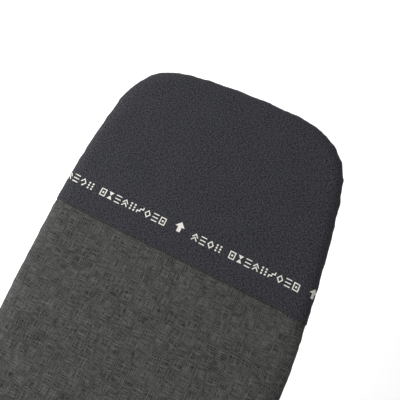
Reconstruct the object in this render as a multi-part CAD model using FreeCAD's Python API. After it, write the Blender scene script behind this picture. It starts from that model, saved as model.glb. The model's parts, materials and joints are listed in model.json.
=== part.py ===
"""Ironing board on two crossed leg frames, with a padded fabric cover. Millimetres, +Z up.

The origin is on the floor, under the middle of the table. +X points to the square end of the table and
-X to its rounded nose. The model stands at its greatest height; folded, both leg frames lie flat under
the table.
"""

import FreeCAD
import Part

import math
import os

from FreeCAD import Vector

# Table outline, measured on the outside of the cover
BOARD_LENGTH = 1248.0
BOARD_WIDTH = 458.0
END_RADIUS = 1060.0          # the almost straight edge of the square end
CORNER_RADIUS = 112.0
CORNER_END_HEADING = 81.1    # degrees turned, from the middle of the square end to where the corner stops
SHOULDER_RADIUS = 1500.0     # from the corner out to the widest point
SIDE_RADIUS = 6000.0
SIDE_TURN = 3.0              # degrees turned along the nearly straight side
NOSE_RADIUS = 85.0
SEAM_FROM_END = 321.0        # where the heat-resistant panel is sewn to the rest of the cover

# Height build-up
COVER_THICKNESS = 1.0
PAD_GAP = 0.2
FOAM_THICKNESS = 4.0
FELT_THICKNESS = 4.0
MESH_THICKNESS = 0.8
RIM_RADIUS = 9.0
RIM_INSET = 4.0              # from the outside of the cover to the outside of the rim tube
TUBE_WALL = 1.0
RIB_HEIGHT = 10.0
RIB_WIDTH = 20.0
RAIL_HEIGHT = 14.0
RAIL_WIDTH = 24.0
RAIL_WALL = 1.5
RAIL_SLOT = 12.0
RAIL_TO_AXLE = 8.0           # from the underside of the rail down to the slider axle
COVER_RETURN = 30.0          # how far the cover reaches back under the rim
COVER_TOP_ROUND = 12.0
COVER_LOWER_ROUND = 8.0

# Leg frames
LEG_ANGLE = 54.0             # degrees from the floor at the greatest height
LEG_LENGTH = 1080.0          # along the tube, from hinge to foot bar
PIVOT_FROM_TOP = 455.0       # along the tube, from hinge to the scissor pivot
HINGE_OFFSET = 23.0          # the hinge lies this far above the middle of the leg tube
HINGE_FROM_NOSE = 270.0      # along the table, from the nose end of the rim
LEG_TUBE_RADIUS = 12.5
LEG_TOP_OVERRUN = 14.0
OUTER_LEG_Y = 134.0
INNER_LEG_Y = 102.0
HINGE_TUBE_RADIUS = 9.0
AXLE_RADIUS = 5.0
FOOT_BAR_RADIUS = 11.0
FOOT_BAR_HALF = 204.0
FOOT_CAP_RADIUS = 17.0
FOOT_HEIGHT = 16.2           # middle of the foot bars above the floor; the caps are flat below
FOOT_CAP_INNER_Y = 178.0
FOOT_CAP_OUTER_Y = 222.0
PIVOT_BOLT_RADIUS = 4.0
LUG_THICKNESS = 4.0
RUNNING = 0.05               # radial clearance of a pin in its hole

# Sliding carriage and its clamp
RAIL_Y = 68.0
SLIDER_LENGTH = 40.0
PLATE_THICKNESS = 2.0
PLATE_DROP = 10.0            # from the axle down to the top of the carriage plate
LEVER_BEHIND_AXLE = 50.0
LEVER_SHAFT_RADIUS = 4.0
CLAMP_TILT = 10.0            # degrees that the clamp plate leans when it grips the rod
GUIDE_ROD_RADIUS = 5.0
GUIDE_ROD_ABOVE_AXLE = 12.0
EAR_Y = 22.0
EAR_THICKNESS = 3.0

# Ribs, by distance from the nose end of the rim
RIBS = {"rib_nose": 140.0, "rib_hinge": 270.0, "rib_centre": 480.0, "rib_front_rail": 700.0,
        "rib_middle_rail": 950.0, "rib_rear_rail": 1194.0}
RAIL_START = 690.0
RAIL_END = 1204.0

THETA = math.radians(LEG_ANGLE)
HALF_LENGTH = BOARD_LENGTH / 2
RIM_LENGTH = BOARD_LENGTH - 2 * RIM_INSET


def x_at(from_nose):
    """X of a place given by its distance from the nose end of the rim."""
    return from_nose - RIM_LENGTH / 2


AXLE_Z = FOOT_HEIGHT + HINGE_OFFSET * math.cos(THETA) + LEG_LENGTH * math.sin(THETA)
HINGE_X = x_at(HINGE_FROM_NOSE)
AXLE_X = HINGE_X + 2 * (PIVOT_FROM_TOP * math.cos(THETA) - HINGE_OFFSET * math.sin(THETA))
FOLDED_AXLE_X = HINGE_X + 2 * PIVOT_FROM_TOP
RAIL_BOTTOM = AXLE_Z + RAIL_TO_AXLE
RIB_BOTTOM = RAIL_BOTTOM + RAIL_HEIGHT
MESH_BOTTOM = RIB_BOTTOM + RIB_HEIGHT
RIM_Z = MESH_BOTTOM - RIM_RADIUS
MESH_TOP = MESH_BOTTOM + MESH_THICKNESS
FELT_TOP = MESH_TOP + FELT_THICKNESS
FOAM_TOP = FELT_TOP + FOAM_THICKNESS
COVER_TOP = FOAM_TOP + PAD_GAP + COVER_THICKNESS
COVER_BOTTOM = RIM_Z - RIM_RADIUS - 3.0 - COVER_THICKNESS
SEAM_X = HALF_LENGTH - SEAM_FROM_END

parts = {}


# ---------------------------------------------------------------- outline

def nose_closure():
    """Radius and end heading of the taper arc, so that the nose arc closes on the centre line."""
    arcs = [(END_RADIUS, end_turn()), (CORNER_RADIUS, CORNER_END_HEADING), (SHOULDER_RADIUS, 90.0),
            (SIDE_RADIUS, 90.0 + SIDE_TURN)]
    x, y = HALF_LENGTH, 0.0
    heading = 0.0
    for radius, end in arcs:
        x -= radius * (math.cos(math.radians(heading)) - math.cos(math.radians(end)))
        y += radius * (math.sin(math.radians(end)) - math.sin(math.radians(heading)))
        heading = end
    side = math.radians(SIDE_TURN)
    run = x + HALF_LENGTH
    low, high = side + 0.01, math.radians(80)
    for _ in range(60):
        turn = (low + high) / 2
        radius = (run - NOSE_RADIUS * (1 - math.sin(turn))) / (math.sin(turn) - math.sin(side))
        miss = y - radius * (math.cos(side) - math.cos(turn)) - NOSE_RADIUS * math.cos(turn)
        low, high = (turn, high) if miss > 0 else (low, turn)
    return radius, 90.0 + math.degrees(turn)


def end_turn():
    """Half the angle of the square end's arc, which makes the table as wide as BOARD_WIDTH."""
    sine = math.sin(math.radians(CORNER_END_HEADING))
    reach = BOARD_WIDTH / 2 - SHOULDER_RADIUS + (SHOULDER_RADIUS - CORNER_RADIUS) * sine
    return math.degrees(math.asin(reach / (END_RADIUS - CORNER_RADIUS)))


def outline_arcs():
    """The +Y half of the outline, square end to nose: (centre x, centre y, radius, start, end)."""
    taper_radius, taper_end = nose_closure()
    turns = [(END_RADIUS, end_turn()), (CORNER_RADIUS, CORNER_END_HEADING), (SHOULDER_RADIUS, 90.0),
             (SIDE_RADIUS, 90.0 + SIDE_TURN), (taper_radius, taper_end), (NOSE_RADIUS, 180.0)]
    x, y, start = HALF_LENGTH, 0.0, 0.0
    arcs = []
    for radius, end in turns:
        a, b = math.radians(start), math.radians(end)
        cx, cy = x - radius * math.cos(a), y - radius * math.sin(a)
        arcs.append((cx, cy, radius, a, b))
        x, y, start = cx + radius * math.cos(b), cy + radius * math.sin(b), end
    return arcs


ARCS = outline_arcs()


def half_outline(inset, z, side=1):
    """Edges of one half of the outline, moved inwards by inset."""
    edges = []
    for cx, cy, radius, start, end in ARCS:
        r = radius - inset
        points = [Vector(cx + r * math.cos(a), side * (cy + r * math.sin(a)), z)
                  for a in (start, (start + end) / 2, end)]
        edges.append(Part.Arc(*points).toShape())
    return edges


def outline_wire(inset, z):
    return Part.Wire(Part.__sortEdges__(half_outline(inset, z) + half_outline(inset, z, -1)))


def half_width(x, inset):
    """Half the width of the outline at x, moved inwards by inset."""
    for cx, cy, radius, start, end in ARCS:
        r = radius - inset
        if cx + r * math.cos(end) <= x <= cx + r * math.cos(start):
            return cy + math.sqrt(r * r - (x - cx) ** 2)
    return 0.0


def slab(inset, bottom, top):
    return Part.Face(outline_wire(inset, bottom)).extrude(Vector(0, 0, top - bottom))


def round_rim(solid, radius, z):
    """Rounds the edges of a slab that lie at height z."""
    return solid.makeFillet(radius, [e for e in solid.Edges if is_level(e, z)])


def is_level(edge, z):
    """True for an edge that lies flat at height z."""
    return abs(edge.BoundBox.ZMin - z) < 1e-3 and abs(edge.BoundBox.ZMax - z) < 1e-3


# ---------------------------------------------------------------- small helpers

def box(x0, x1, y0, y1, z0, z1):
    return Part.makeBox(x1 - x0, y1 - y0, z1 - z0, Vector(x0, y0, z0))


def rod(start, end, radius):
    direction = end - start
    return Part.makeCylinder(radius, direction.Length, start, direction)


def rod_y(x, z, y0, y1, radius):
    return rod(Vector(x, y0, z), Vector(x, y1, z), radius)


def rod_z(x, y, z0, z1, radius):
    return rod(Vector(x, y, z0), Vector(x, y, z1), radius)


def tube(start, end, radius, wall):
    return rod(start, end, radius).cut(rod(start, end, radius - wall))


def link(a, b, radius, y0, y1):
    """A flat bar with round ends between two (x, z) points, from y0 to y1."""
    length = math.hypot(b[0] - a[0], b[1] - a[1])
    bar = rod_y(0, 0, y0, y1, radius)
    bar = bar.fuse([rod_y(length, 0, y0, y1, radius), box(0, length, y0, y1, -radius, radius)])
    bar.rotate(Vector(0, 0, 0), Vector(0, 1, 0), -math.degrees(math.atan2(b[1] - a[1], b[0] - a[0])))
    bar.translate(Vector(a[0], 0, a[1]))
    return bar.removeSplitter()


def mirrored(shape):
    return shape.mirror(Vector(0, 0, 0), Vector(0, 1, 0))


def pair(shape):
    """The shape and its mirror image on the other side, as one group of separate solids."""
    return Part.makeCompound([shape, mirrored(shape)])


def add(name, shape):
    parts[name] = shape


def add_left_right(name, shape):
    """+Y is the left side when you look along +X."""
    add(name + "_left", shape)
    add(name + "_right", mirrored(shape))


def frame_point(frame, along, above, y=0.0):
    """A point of a leg frame: along its tube from the top, and above the middle of the tube."""
    direction = 1 if frame == "outer" else -1
    top_x = HINGE_X if frame == "outer" else AXLE_X
    x = top_x + direction * (along * math.cos(THETA) + (above - HINGE_OFFSET) * math.sin(THETA))
    z = AXLE_Z - along * math.sin(THETA) + (above - HINGE_OFFSET) * math.cos(THETA)
    return Vector(x, y, z)


# ---------------------------------------------------------------- table

def sweep(edges, radius):
    path = Part.Wire(edges)
    start = path.OrderedVertexes[0].Point
    tangent = path.OrderedEdges[0].tangentAt(path.OrderedEdges[0].FirstParameter)
    section = Part.Wire(Part.makeCircle(radius, start, tangent))
    return path.makePipeShell([section], True, False)


def rim():
    inset = RIM_INSET + RIM_RADIUS
    edges = half_outline(inset, RIM_Z)
    outer = sweep(edges, RIM_RADIUS)
    add_left_right("rim_tube", outer.cut(sweep(edges, RIM_RADIUS - TUBE_WALL)))
    return [outer, mirrored(outer)]


def mesh_top():
    """Steel sheet with diamond openings in staggered rows, welded on top of the rim."""
    pitch_x, pitch_y, web, margin = 74.0, 15.0, 9.0, 30.0
    half_x, half_y = pitch_x / 2 - web, pitch_y - web / 2
    wires = [outline_wire(RIM_INSET + RIM_RADIUS, MESH_BOTTOM)]
    rows = int(BOARD_WIDTH / 2 / pitch_y)
    columns = int(HALF_LENGTH / pitch_x) + 1
    for row in range(-rows, rows + 1):
        for column in range(-columns, columns + 1):
            x = (column + (row % 2) / 2) * pitch_x
            y = row * pitch_y
            reach = min(half_width(x - half_x, margin), half_width(x + half_x, margin))
            if abs(y) + half_y < reach:
                corners = [(x - half_x, y), (x, y - half_y), (x + half_x, y), (x, y + half_y)]
                corners.append(corners[0])
                wires.append(Part.makePolygon([Vector(*corner, MESH_BOTTOM) for corner in corners]))
    sheet = Part.makeFace(wires, "Part::FaceMakerBullseye")
    add("mesh_top", sheet.extrude(Vector(0, 0, MESH_THICKNESS)))


def ribs(rim_solids, screw_holes):
    """Box ribs across the underside of the mesh, coped to the rim tube."""
    for name, from_nose in RIBS.items():
        x = x_at(from_nose)
        reach = half_width(x, RIM_INSET + RIM_RADIUS)
        half, wall = RIB_WIDTH / 2, TUBE_WALL
        rib = box(x - half, x + half, -reach, reach, RIB_BOTTOM, MESH_BOTTOM)
        hollow = box(x - half + wall, x + half - wall, -reach, reach,
                     RIB_BOTTOM + wall, MESH_BOTTOM - wall)
        rib = rib.cut([hollow] + rim_solids)
        rib = max(rib.Solids, key=lambda s: s.Volume)
        if name == "rib_hinge":
            rib = rib.cut(screw_holes)
        add(name, rib)


def rails():
    x0, x1 = x_at(RAIL_START), x_at(RAIL_END)
    y0, y1 = RAIL_Y - RAIL_WIDTH / 2, RAIL_Y + RAIL_WIDTH / 2
    channel = (y0 + RAIL_WALL, y1 - RAIL_WALL, RAIL_BOTTOM + RAIL_WALL, RIB_BOTTOM - RAIL_WALL)
    slot = box(x0, x1, RAIL_Y - RAIL_SLOT / 2, RAIL_Y + RAIL_SLOT / 2, RAIL_BOTTOM, channel[2])
    rail = box(x0, x1, y0, y1, RAIL_BOTTOM, RIB_BOTTOM)
    add_left_right("rail", rail.cut([box(x0, x1, *channel), slot]))
    stop_length, gap = 3.0, 0.3
    reach = SLIDER_LENGTH / 2 + gap
    stop_starts = (AXLE_X - reach - stop_length, FOLDED_AXLE_X + reach)
    stops = [box(start, start + stop_length, *channel) for start in stop_starts]
    add("rail_stops", Part.makeCompound(stops + [mirrored(s) for s in stops]))


def guide_rod():
    z = AXLE_Z + GUIDE_ROD_ABOVE_AXLE
    x0, x1 = x_at(RAIL_START), x_at(RAIL_END) - 3.0
    add("guide_rod", rod(Vector(x0, 0, z), Vector(x1, 0, z), GUIDE_ROD_RADIUS))
    half_y, thickness, below = 14.0, 3.0, 8.5
    ends = []
    for x in (x0 + 6.0, x1 - 6.0):
        plate = box(x - thickness / 2, x + thickness / 2, -half_y, half_y, z - below, RIB_BOTTOM)
        ends.append(plate.cut(rod(Vector(x0, 0, z), Vector(x1, 0, z), GUIDE_ROD_RADIUS)))
    add("rod_brackets", Part.makeCompound(ends))


def hinge_bearings():
    """Two plastic blocks that hold the hinge tube of the outer legs under the hinge rib."""
    half_x, y0, y1, below = 21.0, 48.0, 72.0, 14.0
    screw_x, shank, head, head_height, bite = 15.5, 2.0, 4.0, 2.6, 5.0
    y = (y0 + y1) / 2
    bottom = AXLE_Z - below
    block = box(HINGE_X - half_x, HINGE_X + half_x, y0, y1, bottom, RIB_BOTTOM)
    block = round_block(block, 5.0, bottom)
    block = block.cut(rod_y(HINGE_X, AXLE_Z, y0, y1, HINGE_TUBE_RADIUS + RUNNING))
    screws, holes = [], []
    for x in (HINGE_X - screw_x, HINGE_X + screw_x):
        holes.append(rod_z(x, y, bottom, RIB_BOTTOM + bite, shank + RUNNING))
        screw = rod_z(x, y, bottom, RIB_BOTTOM + bite, shank)
        screws.append(screw.fuse(rod_z(x, y, bottom - head_height, bottom, head)).removeSplitter())
    add_left_right("hinge_bearing", block.cut(holes))
    add("hinge_screws", Part.makeCompound(screws + [mirrored(s) for s in screws]))
    return holes + [mirrored(h) for h in holes]


def round_block(block, radius, z):
    """Rounds the two lower edges of a block that run along Y."""
    edges = [e for e in block.Edges if is_level(e, z) and e.BoundBox.XLength < 1e-3]
    return block.makeFillet(radius, edges)


def soft_layers():
    """Felt, foam and the cover with its heat-resistant panel, each with its true outer shape."""
    add("felt_underlay", slab(RIM_INSET + 1.0, MESH_TOP, FELT_TOP))
    foam_inset = COVER_THICKNESS + PAD_GAP
    foam = round_rim(slab(foam_inset, RIM_Z, FOAM_TOP), COVER_TOP_ROUND - foam_inset, FOAM_TOP)
    add("foam_pad", foam.cut(slab(RIM_INSET - PAD_GAP, RIM_Z - 1, FELT_TOP)))
    outside = round_rim(slab(0, COVER_BOTTOM, COVER_TOP), COVER_TOP_ROUND, COVER_TOP)
    outside = round_rim(outside, COVER_LOWER_ROUND, COVER_BOTTOM)
    t = COVER_THICKNESS
    inside = round_rim(slab(t, COVER_BOTTOM + t, COVER_TOP - t), COVER_TOP_ROUND - t, COVER_TOP - t)
    inside = round_rim(inside, COVER_LOWER_ROUND - t, COVER_BOTTOM + t)
    cover = outside.cut([inside, slab(COVER_RETURN, COVER_BOTTOM - 5, COVER_BOTTOM + 5)])
    far = BOARD_LENGTH
    add("cover_main", cover.common(box(-far, SEAM_X, -far, far, 0, 2 * far)))
    add("cover_heat_zone", cover.common(box(SEAM_X, far, -far, far, 0, 2 * far)))
    elastic_radius = 2.4
    inset = COVER_RETURN + elastic_radius + 0.1
    z = COVER_BOTTOM + elastic_radius
    halves = [sweep(half_outline(inset, z), elastic_radius)]
    add("hem_elastic", halves[0].fuse(mirrored(halves[0])).removeSplitter())


def transport_catch():
    """A hook under the nose that swings down and holds the folded inner foot bar."""
    bar_x, bar_z = FOLDED_AXLE_X - LEG_LENGTH, AXLE_Z - HINGE_OFFSET
    pin_x, pin_z = x_at(RIBS["rib_nose"]), AXLE_Z + 13.0
    pin_radius, half_y, arm, swing = 2.5, 6.0, 4.0, 120.0
    path = [(pin_x, pin_z), (bar_x + 21, bar_z + 2), (bar_x + 16, bar_z - 13), (bar_x + 2, bar_z - 18),
            (bar_x - 12, bar_z - 15)]
    hook = link(path[0], path[1], arm, -half_y, half_y)
    hook = hook.fuse([link(a, b, arm, -half_y, half_y) for a, b in zip(path[1:], path[2:])])
    hook = hook.fuse(rod_y(pin_x, pin_z, -half_y, half_y, arm + 2.0)).removeSplitter()
    hook = hook.cut(rod_y(pin_x, pin_z, -half_y, half_y, pin_radius + RUNNING))
    hook.rotate(Vector(pin_x, 0, pin_z), Vector(0, 1, 0), -swing)
    add("transport_hook", hook)
    ear_y, ear, half_x = half_y + 1.0, 2.5, 8.0
    ears = box(pin_x - half_x, pin_x + half_x, ear_y, ear_y + ear, pin_z - half_x, RIB_BOTTOM)
    add("hook_bracket", pair(ears.cut(rod_y(pin_x, pin_z, 0, 20, pin_radius))))
    add("hook_pin", rod_y(pin_x, pin_z, -ear_y - ear - 1, ear_y + ear + 1, pin_radius))


# ---------------------------------------------------------------- leg frames

def leg_frame(frame, leg_y):
    """Two leg tubes, a foot bar with its caps, and end plugs."""
    foot = frame_point(frame, LEG_LENGTH, 0)
    foot_bar = rod_y(foot.x, foot.z, -FOOT_BAR_HALF, FOOT_BAR_HALF, FOOT_BAR_RADIUS)
    pivot = frame_point(frame, PIVOT_FROM_TOP, 0)
    start = frame_point(frame, -LEG_TOP_OVERRUN, 0, leg_y)
    end = frame_point(frame, LEG_LENGTH, 0, leg_y)
    leg = tube(start, end, LEG_TUBE_RADIUS, TUBE_WALL)
    leg = leg.cut([foot_bar, rod_y(pivot.x, pivot.z, 0, 200, PIVOT_BOLT_RADIUS + RUNNING)])
    add_left_right(frame + "_leg", max(leg.Solids, key=lambda s: s.Volume))
    bore = rod_y(foot.x, foot.z, -FOOT_BAR_HALF, FOOT_BAR_HALF, FOOT_BAR_RADIUS - TUBE_WALL)
    add(frame + "_foot_bar", foot_bar.cut(bore))
    cap = rod_y(foot.x, foot.z, FOOT_CAP_INNER_Y, FOOT_CAP_OUTER_Y, FOOT_CAP_RADIUS)
    outer_edge = [e for e in cap.Edges if e.BoundBox.YMin > FOOT_CAP_OUTER_Y - 1e-3]
    cap = cap.makeFillet(7.0, outer_edge)
    inner_edge = [e for e in cap.Edges if e.BoundBox.YMax < FOOT_CAP_INNER_Y + 1e-3]
    cap = cap.makeFillet(2.0, inner_edge)
    cap = cap.cut([rod_y(foot.x, foot.z, FOOT_CAP_INNER_Y, FOOT_BAR_HALF + 1, FOOT_BAR_RADIUS + RUNNING),
                   box(foot.x - 50, foot.x + 50, 0, FOOT_CAP_OUTER_Y, -50, 0)])
    add_left_right(frame + "_foot_cap", cap)
    flange, depth, slack = 2.0, 12.0, 0.05
    face = frame_point(frame, -LEG_TOP_OVERRUN, 0, leg_y)
    tip = frame_point(frame, -LEG_TOP_OVERRUN - flange, 0, leg_y)
    inner = frame_point(frame, -LEG_TOP_OVERRUN + depth, 0, leg_y)
    plug = rod(face, tip, LEG_TUBE_RADIUS)
    rim_edges = [e for e in plug.Edges if e.Length > 1 and (e.CenterOfMass - tip).Length < 1e-3]
    plug = plug.makeFillet(1.4, rim_edges)
    plug = plug.fuse(rod(face, inner, LEG_TUBE_RADIUS - TUBE_WALL - slack)).removeSplitter()
    add(frame + "_tube_plugs", pair(plug))


def lugs(frame, leg_y, hole_radius, corner):
    """Plates welded inside the two leg tubes, which carry the hinge above them."""
    top = frame_point(frame, 0, HINGE_OFFSET)
    low = frame_point(frame, 20.0, 2.0)
    y1 = leg_y - LEG_TUBE_RADIUS
    lug = link((top.x, top.z), (low.x, low.z), corner, y1 - LUG_THICKNESS, y1)
    return pair(lug.cut(rod_y(top.x, top.z, 0, 200, hole_radius)))


def outer_frame():
    leg_frame("outer", OUTER_LEG_Y)
    add("outer_hinge_lugs", lugs("outer", OUTER_LEG_Y, HINGE_TUBE_RADIUS, 12.0))
    half = OUTER_LEG_Y - LEG_TUBE_RADIUS + 5.0
    ends = Vector(HINGE_X, -half, AXLE_Z), Vector(HINGE_X, half, AXLE_Z)
    hinge = tube(*ends, HINGE_TUBE_RADIUS, TUBE_WALL)
    add("outer_hinge_tube", hinge)
    brace_along, brace_radius = 950.0, 8.0
    add("outer_brace", brace("outer", brace_along, brace_radius, OUTER_LEG_Y))
    pivot_hardware()


def brace(frame, along, radius, leg_y):
    """A tube across a leg frame, coped to its two legs."""
    middle = frame_point(frame, along, 0)
    bar = tube(Vector(middle.x, -leg_y, middle.z), Vector(middle.x, leg_y, middle.z), radius, TUBE_WALL)
    legs = [rod(frame_point(frame, 0, 0, y), frame_point(frame, LEG_LENGTH, 0, y), LEG_TUBE_RADIUS)
            for y in (-leg_y, leg_y)]
    return max(bar.cut(legs).Solids, key=lambda s: s.Volume)


def pivot_hardware():
    """Bolt, nylon spacer and nut of each scissor pivot."""
    pivot = frame_point("outer", PIVOT_FROM_TOP, 0)
    head_y, nut_y = OUTER_LEG_Y + LEG_TUBE_RADIUS, INNER_LEG_Y - LEG_TUBE_RADIUS - 0.3
    head_radius, head_height, nut_height, nut_width, thread_end = 9.0, 4.5, 7.0, 13.0, 2.5
    bolt = rod_y(pivot.x, pivot.z, nut_y - nut_height - thread_end, head_y, PIVOT_BOLT_RADIUS)
    head = rod_y(pivot.x, pivot.z, head_y, head_y + head_height, head_radius)
    outer_edge = [e for e in head.Edges if e.BoundBox.YMin > head_y + head_height - 1e-3]
    head = head.makeFillet(3.2, outer_edge)
    add("pivot_bolts", pair(bolt.fuse(head).removeSplitter()))
    corner = nut_width / math.sqrt(3)
    hexagon = [Vector(pivot.x + corner * math.cos(math.radians(60 * k)), nut_y - nut_height,
                      pivot.z + corner * math.sin(math.radians(60 * k))) for k in range(7)]
    nut = Part.Face(Part.makePolygon(hexagon)).extrude(Vector(0, nut_height, 0))
    add("pivot_nuts", pair(nut.cut(rod_y(pivot.x, pivot.z, 0, 200, PIVOT_BOLT_RADIUS))))
    spacer_y0, spacer_y1 = INNER_LEG_Y + LEG_TUBE_RADIUS + 0.3, OUTER_LEG_Y - LEG_TUBE_RADIUS
    spacer = rod_y(pivot.x, pivot.z, spacer_y0, spacer_y1, 11.0)
    add("pivot_spacers", pair(spacer.cut(rod_y(pivot.x, pivot.z, 0, 200, PIVOT_BOLT_RADIUS))))


def inner_frame():
    leg_frame("inner", INNER_LEG_Y)
    add("inner_axle_lugs", lugs("inner", INNER_LEG_Y, AXLE_RADIUS, 9.0))
    add("inner_brace", brace("inner", 700.0, 8.0, INNER_LEG_Y))
    half = INNER_LEG_Y - LEG_TUBE_RADIUS + 6.0
    add("slider_axle", rod_y(AXLE_X, AXLE_Z, -half, half, AXLE_RADIUS))
    cap_inner, cap_outer, cap_radius = half - 3.0, half + 1.5, 7.5
    cap = rod_y(AXLE_X, AXLE_Z, cap_inner, cap_outer, cap_radius)
    add("axle_caps", pair(cap.cut(rod_y(AXLE_X, AXLE_Z, 0, half, AXLE_RADIUS))))


# ---------------------------------------------------------------- carriage and release lever

def carriage():
    """Two plastic sliders in the rails, the plate that joins them, and the ears for the lever shaft."""
    half_length, side_gap, neck_half, body_half = SLIDER_LENGTH / 2, 0.5, 5.0, 8.0
    head_half = RAIL_WIDTH / 2 - RAIL_WALL - side_gap
    plate_top = AXLE_Z - PLATE_DROP
    x0, x1 = AXLE_X - half_length, AXLE_X + half_length
    head_bottom = RAIL_BOTTOM + RAIL_WALL + side_gap
    head_top = RIB_BOTTOM - RAIL_WALL - side_gap
    head = box(x0, x1, RAIL_Y - head_half, RAIL_Y + head_half, head_bottom, head_top)
    neck = box(x0, x1, RAIL_Y - neck_half, RAIL_Y + neck_half, RAIL_BOTTOM - 1, head_bottom)
    block = box(x0, x1, RAIL_Y - body_half, RAIL_Y + body_half, plate_top, RAIL_BOTTOM - 1)
    slider = head.fuse([neck, block]).removeSplitter()
    slider = slider.cut(rod_y(AXLE_X, AXLE_Z, 0, 200, AXLE_RADIUS + RUNNING))
    screw_x, shank, screw_head, head_height, bite = 13.0, 1.8, 3.5, 2.2, 5.0
    bottom = plate_top - PLATE_THICKNESS
    screws, holes = [], []
    for x in (AXLE_X - screw_x, AXLE_X + screw_x):
        holes.append(rod_z(x, RAIL_Y, bottom, plate_top + bite, shank + RUNNING))
        screw = rod_z(x, RAIL_Y, bottom, plate_top + bite, shank)
        screw = screw.fuse(rod_z(x, RAIL_Y, bottom - head_height, bottom, screw_head))
        screws.append(screw.removeSplitter())
    add_left_right("slider", slider.cut(holes))
    add("slider_screws", Part.makeCompound(screws + [mirrored(s) for s in screws]))
    shaft_x = AXLE_X - LEVER_BEHIND_AXLE
    ear_half, ear_top = 9.0, 8.0
    reach = RAIL_Y + body_half
    tongue = EAR_Y + EAR_THICKNESS
    plate = box(shaft_x - ear_half - 3, x1 + 2, -tongue, tongue, bottom, plate_top)
    plate = plate.fuse(box(x0 - 2, x1 + 2, -reach, reach, bottom, plate_top))
    ear = box(shaft_x - ear_half, shaft_x + ear_half, EAR_Y, EAR_Y + EAR_THICKNESS, bottom, AXLE_Z)
    ear = ear.fuse(rod_y(shaft_x, AXLE_Z, EAR_Y, EAR_Y + EAR_THICKNESS, ear_half - 1))
    ear = ear.common(box(shaft_x - 50, shaft_x + 50, 0, 50, bottom, AXLE_Z + ear_top))
    plate = plate.fuse([ear, mirrored(ear)]).removeSplitter()
    bores = [rod_y(shaft_x, AXLE_Z, -50, 50, LEVER_SHAFT_RADIUS + RUNNING)]
    add("carriage_plate", plate.cut(bores + holes + [mirrored(h) for h in holes]))


def release_lever():
    """Shaft, clamp plate and grip, drawn with the plate upright and then leant over to grip the rod."""
    shaft_x = AXLE_X - LEVER_BEHIND_AXLE
    shaft_y0, shaft_y1 = -206.0, EAR_Y + EAR_THICKNESS + 4.0
    shaft = rod_y(shaft_x, AXLE_Z, shaft_y0, shaft_y1, LEVER_SHAFT_RADIUS)
    plate_half_x, plate_half_y, plate_height, hole_slack = 1.5, 14.0, 20.5, 0.1
    tilt = math.radians(CLAMP_TILT)
    hole_radius = (GUIDE_ROD_RADIUS + plate_half_x * math.sin(tilt)) / math.cos(tilt) + hole_slack
    hole_z = AXLE_Z + GUIDE_ROD_ABOVE_AXLE / math.cos(tilt)
    plate = box(shaft_x - plate_half_x, shaft_x + plate_half_x, -plate_half_y, plate_half_y,
                AXLE_Z, AXLE_Z + plate_height)
    plate = plate.cut([rod_y(shaft_x, AXLE_Z, -50, 50, LEVER_SHAFT_RADIUS),
                       rod(Vector(shaft_x - 9, 0, hole_z), Vector(shaft_x + 9, 0, hole_z), hole_radius)])
    grip_y0, grip_y1, grip_length, grip_half, hub = -214.0, -156.0, 88.0, 4.5, 9.0
    paddle = box(shaft_x - grip_length, shaft_x, grip_y0, grip_y1, AXLE_Z - grip_half, AXLE_Z + grip_half)
    free_end = shaft_x - grip_length + 1
    corners = [e for e in paddle.Edges if e.BoundBox.ZLength > 1 and e.BoundBox.XMax < free_end]
    paddle = paddle.makeFillet(16.0, corners)
    paddle = paddle.fuse(rod_y(shaft_x, AXLE_Z, grip_y0, grip_y1, hub)).removeSplitter()
    rims = [e for e in paddle.Edges
            if e.BoundBox.ZLength < 1e-3 and abs(abs(e.BoundBox.ZMin - AXLE_Z) - grip_half) < 1e-3
            and e.BoundBox.XMax < shaft_x - 5 and e.BoundBox.YLength < 50]
    paddle = paddle.makeFillet(3.0, rims)
    paddle = paddle.cut(rod_y(shaft_x, AXLE_Z, shaft_y0, grip_y1, LEVER_SHAFT_RADIUS))
    clip_radius, clip = 7.0, 1.0
    clip_y = EAR_Y + EAR_THICKNESS + 0.3
    ring = rod_y(shaft_x, AXLE_Z, clip_y, clip_y + clip, clip_radius)
    ring = ring.cut(rod_y(shaft_x, AXLE_Z, 0, 50, LEVER_SHAFT_RADIUS))
    for name, shape in (("lever_shaft", shaft), ("clamp_plate", plate), ("lever_grip", paddle),
                        ("shaft_clips", pair(ring))):
        shape.rotate(Vector(shaft_x, 0, AXLE_Z), Vector(0, 1, 0), -CLAMP_TILT)
        add(name, shape)
    lever_spring(shaft_x)


def lever_spring(shaft_x):
    """A torsion spring round the lever shaft, with one leg down on the carriage plate."""
    wire_radius, coil_radius, turns, pitch, start_y = 0.55, 5.8, 3.0, 1.35, 15.6
    coil = Part.makeHelix(pitch, turns * pitch, coil_radius)
    coil.rotate(Vector(0, 0, 0), Vector(1, 0, 0), -90)
    coil.translate(Vector(shaft_x, start_y, AXLE_Z))
    start = Vector(shaft_x + coil_radius, start_y, AXLE_Z)
    path = Part.Wire(coil.Edges)
    tangent = path.OrderedEdges[0].tangentAt(path.OrderedEdges[0].FirstParameter)
    winding = path.makePipeShell([Part.Wire(Part.makeCircle(wire_radius, start, tangent))], True, True)
    leg_end = Vector(start.x, start.y, AXLE_Z - PLATE_DROP)
    add("lever_spring", winding.fuse(rod(leg_end, start, wire_radius)))


def main():
    os.makedirs("parts", exist_ok=True)
    rim_solids = rim()
    mesh_top()
    screw_holes = hinge_bearings()
    ribs(rim_solids, screw_holes)
    rails()
    guide_rod()
    soft_layers()
    transport_catch()
    outer_frame()
    inner_frame()
    carriage()
    release_lever()
    for name, shape in parts.items():
        shape.exportStep(f"parts/{name}.step")
        counted = f"solids {len(shape.Solids)} volume {shape.Volume:11.0f} mm3"
        print(f"{name:20s} {counted} valid {shape.isValid()}")


main()
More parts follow.
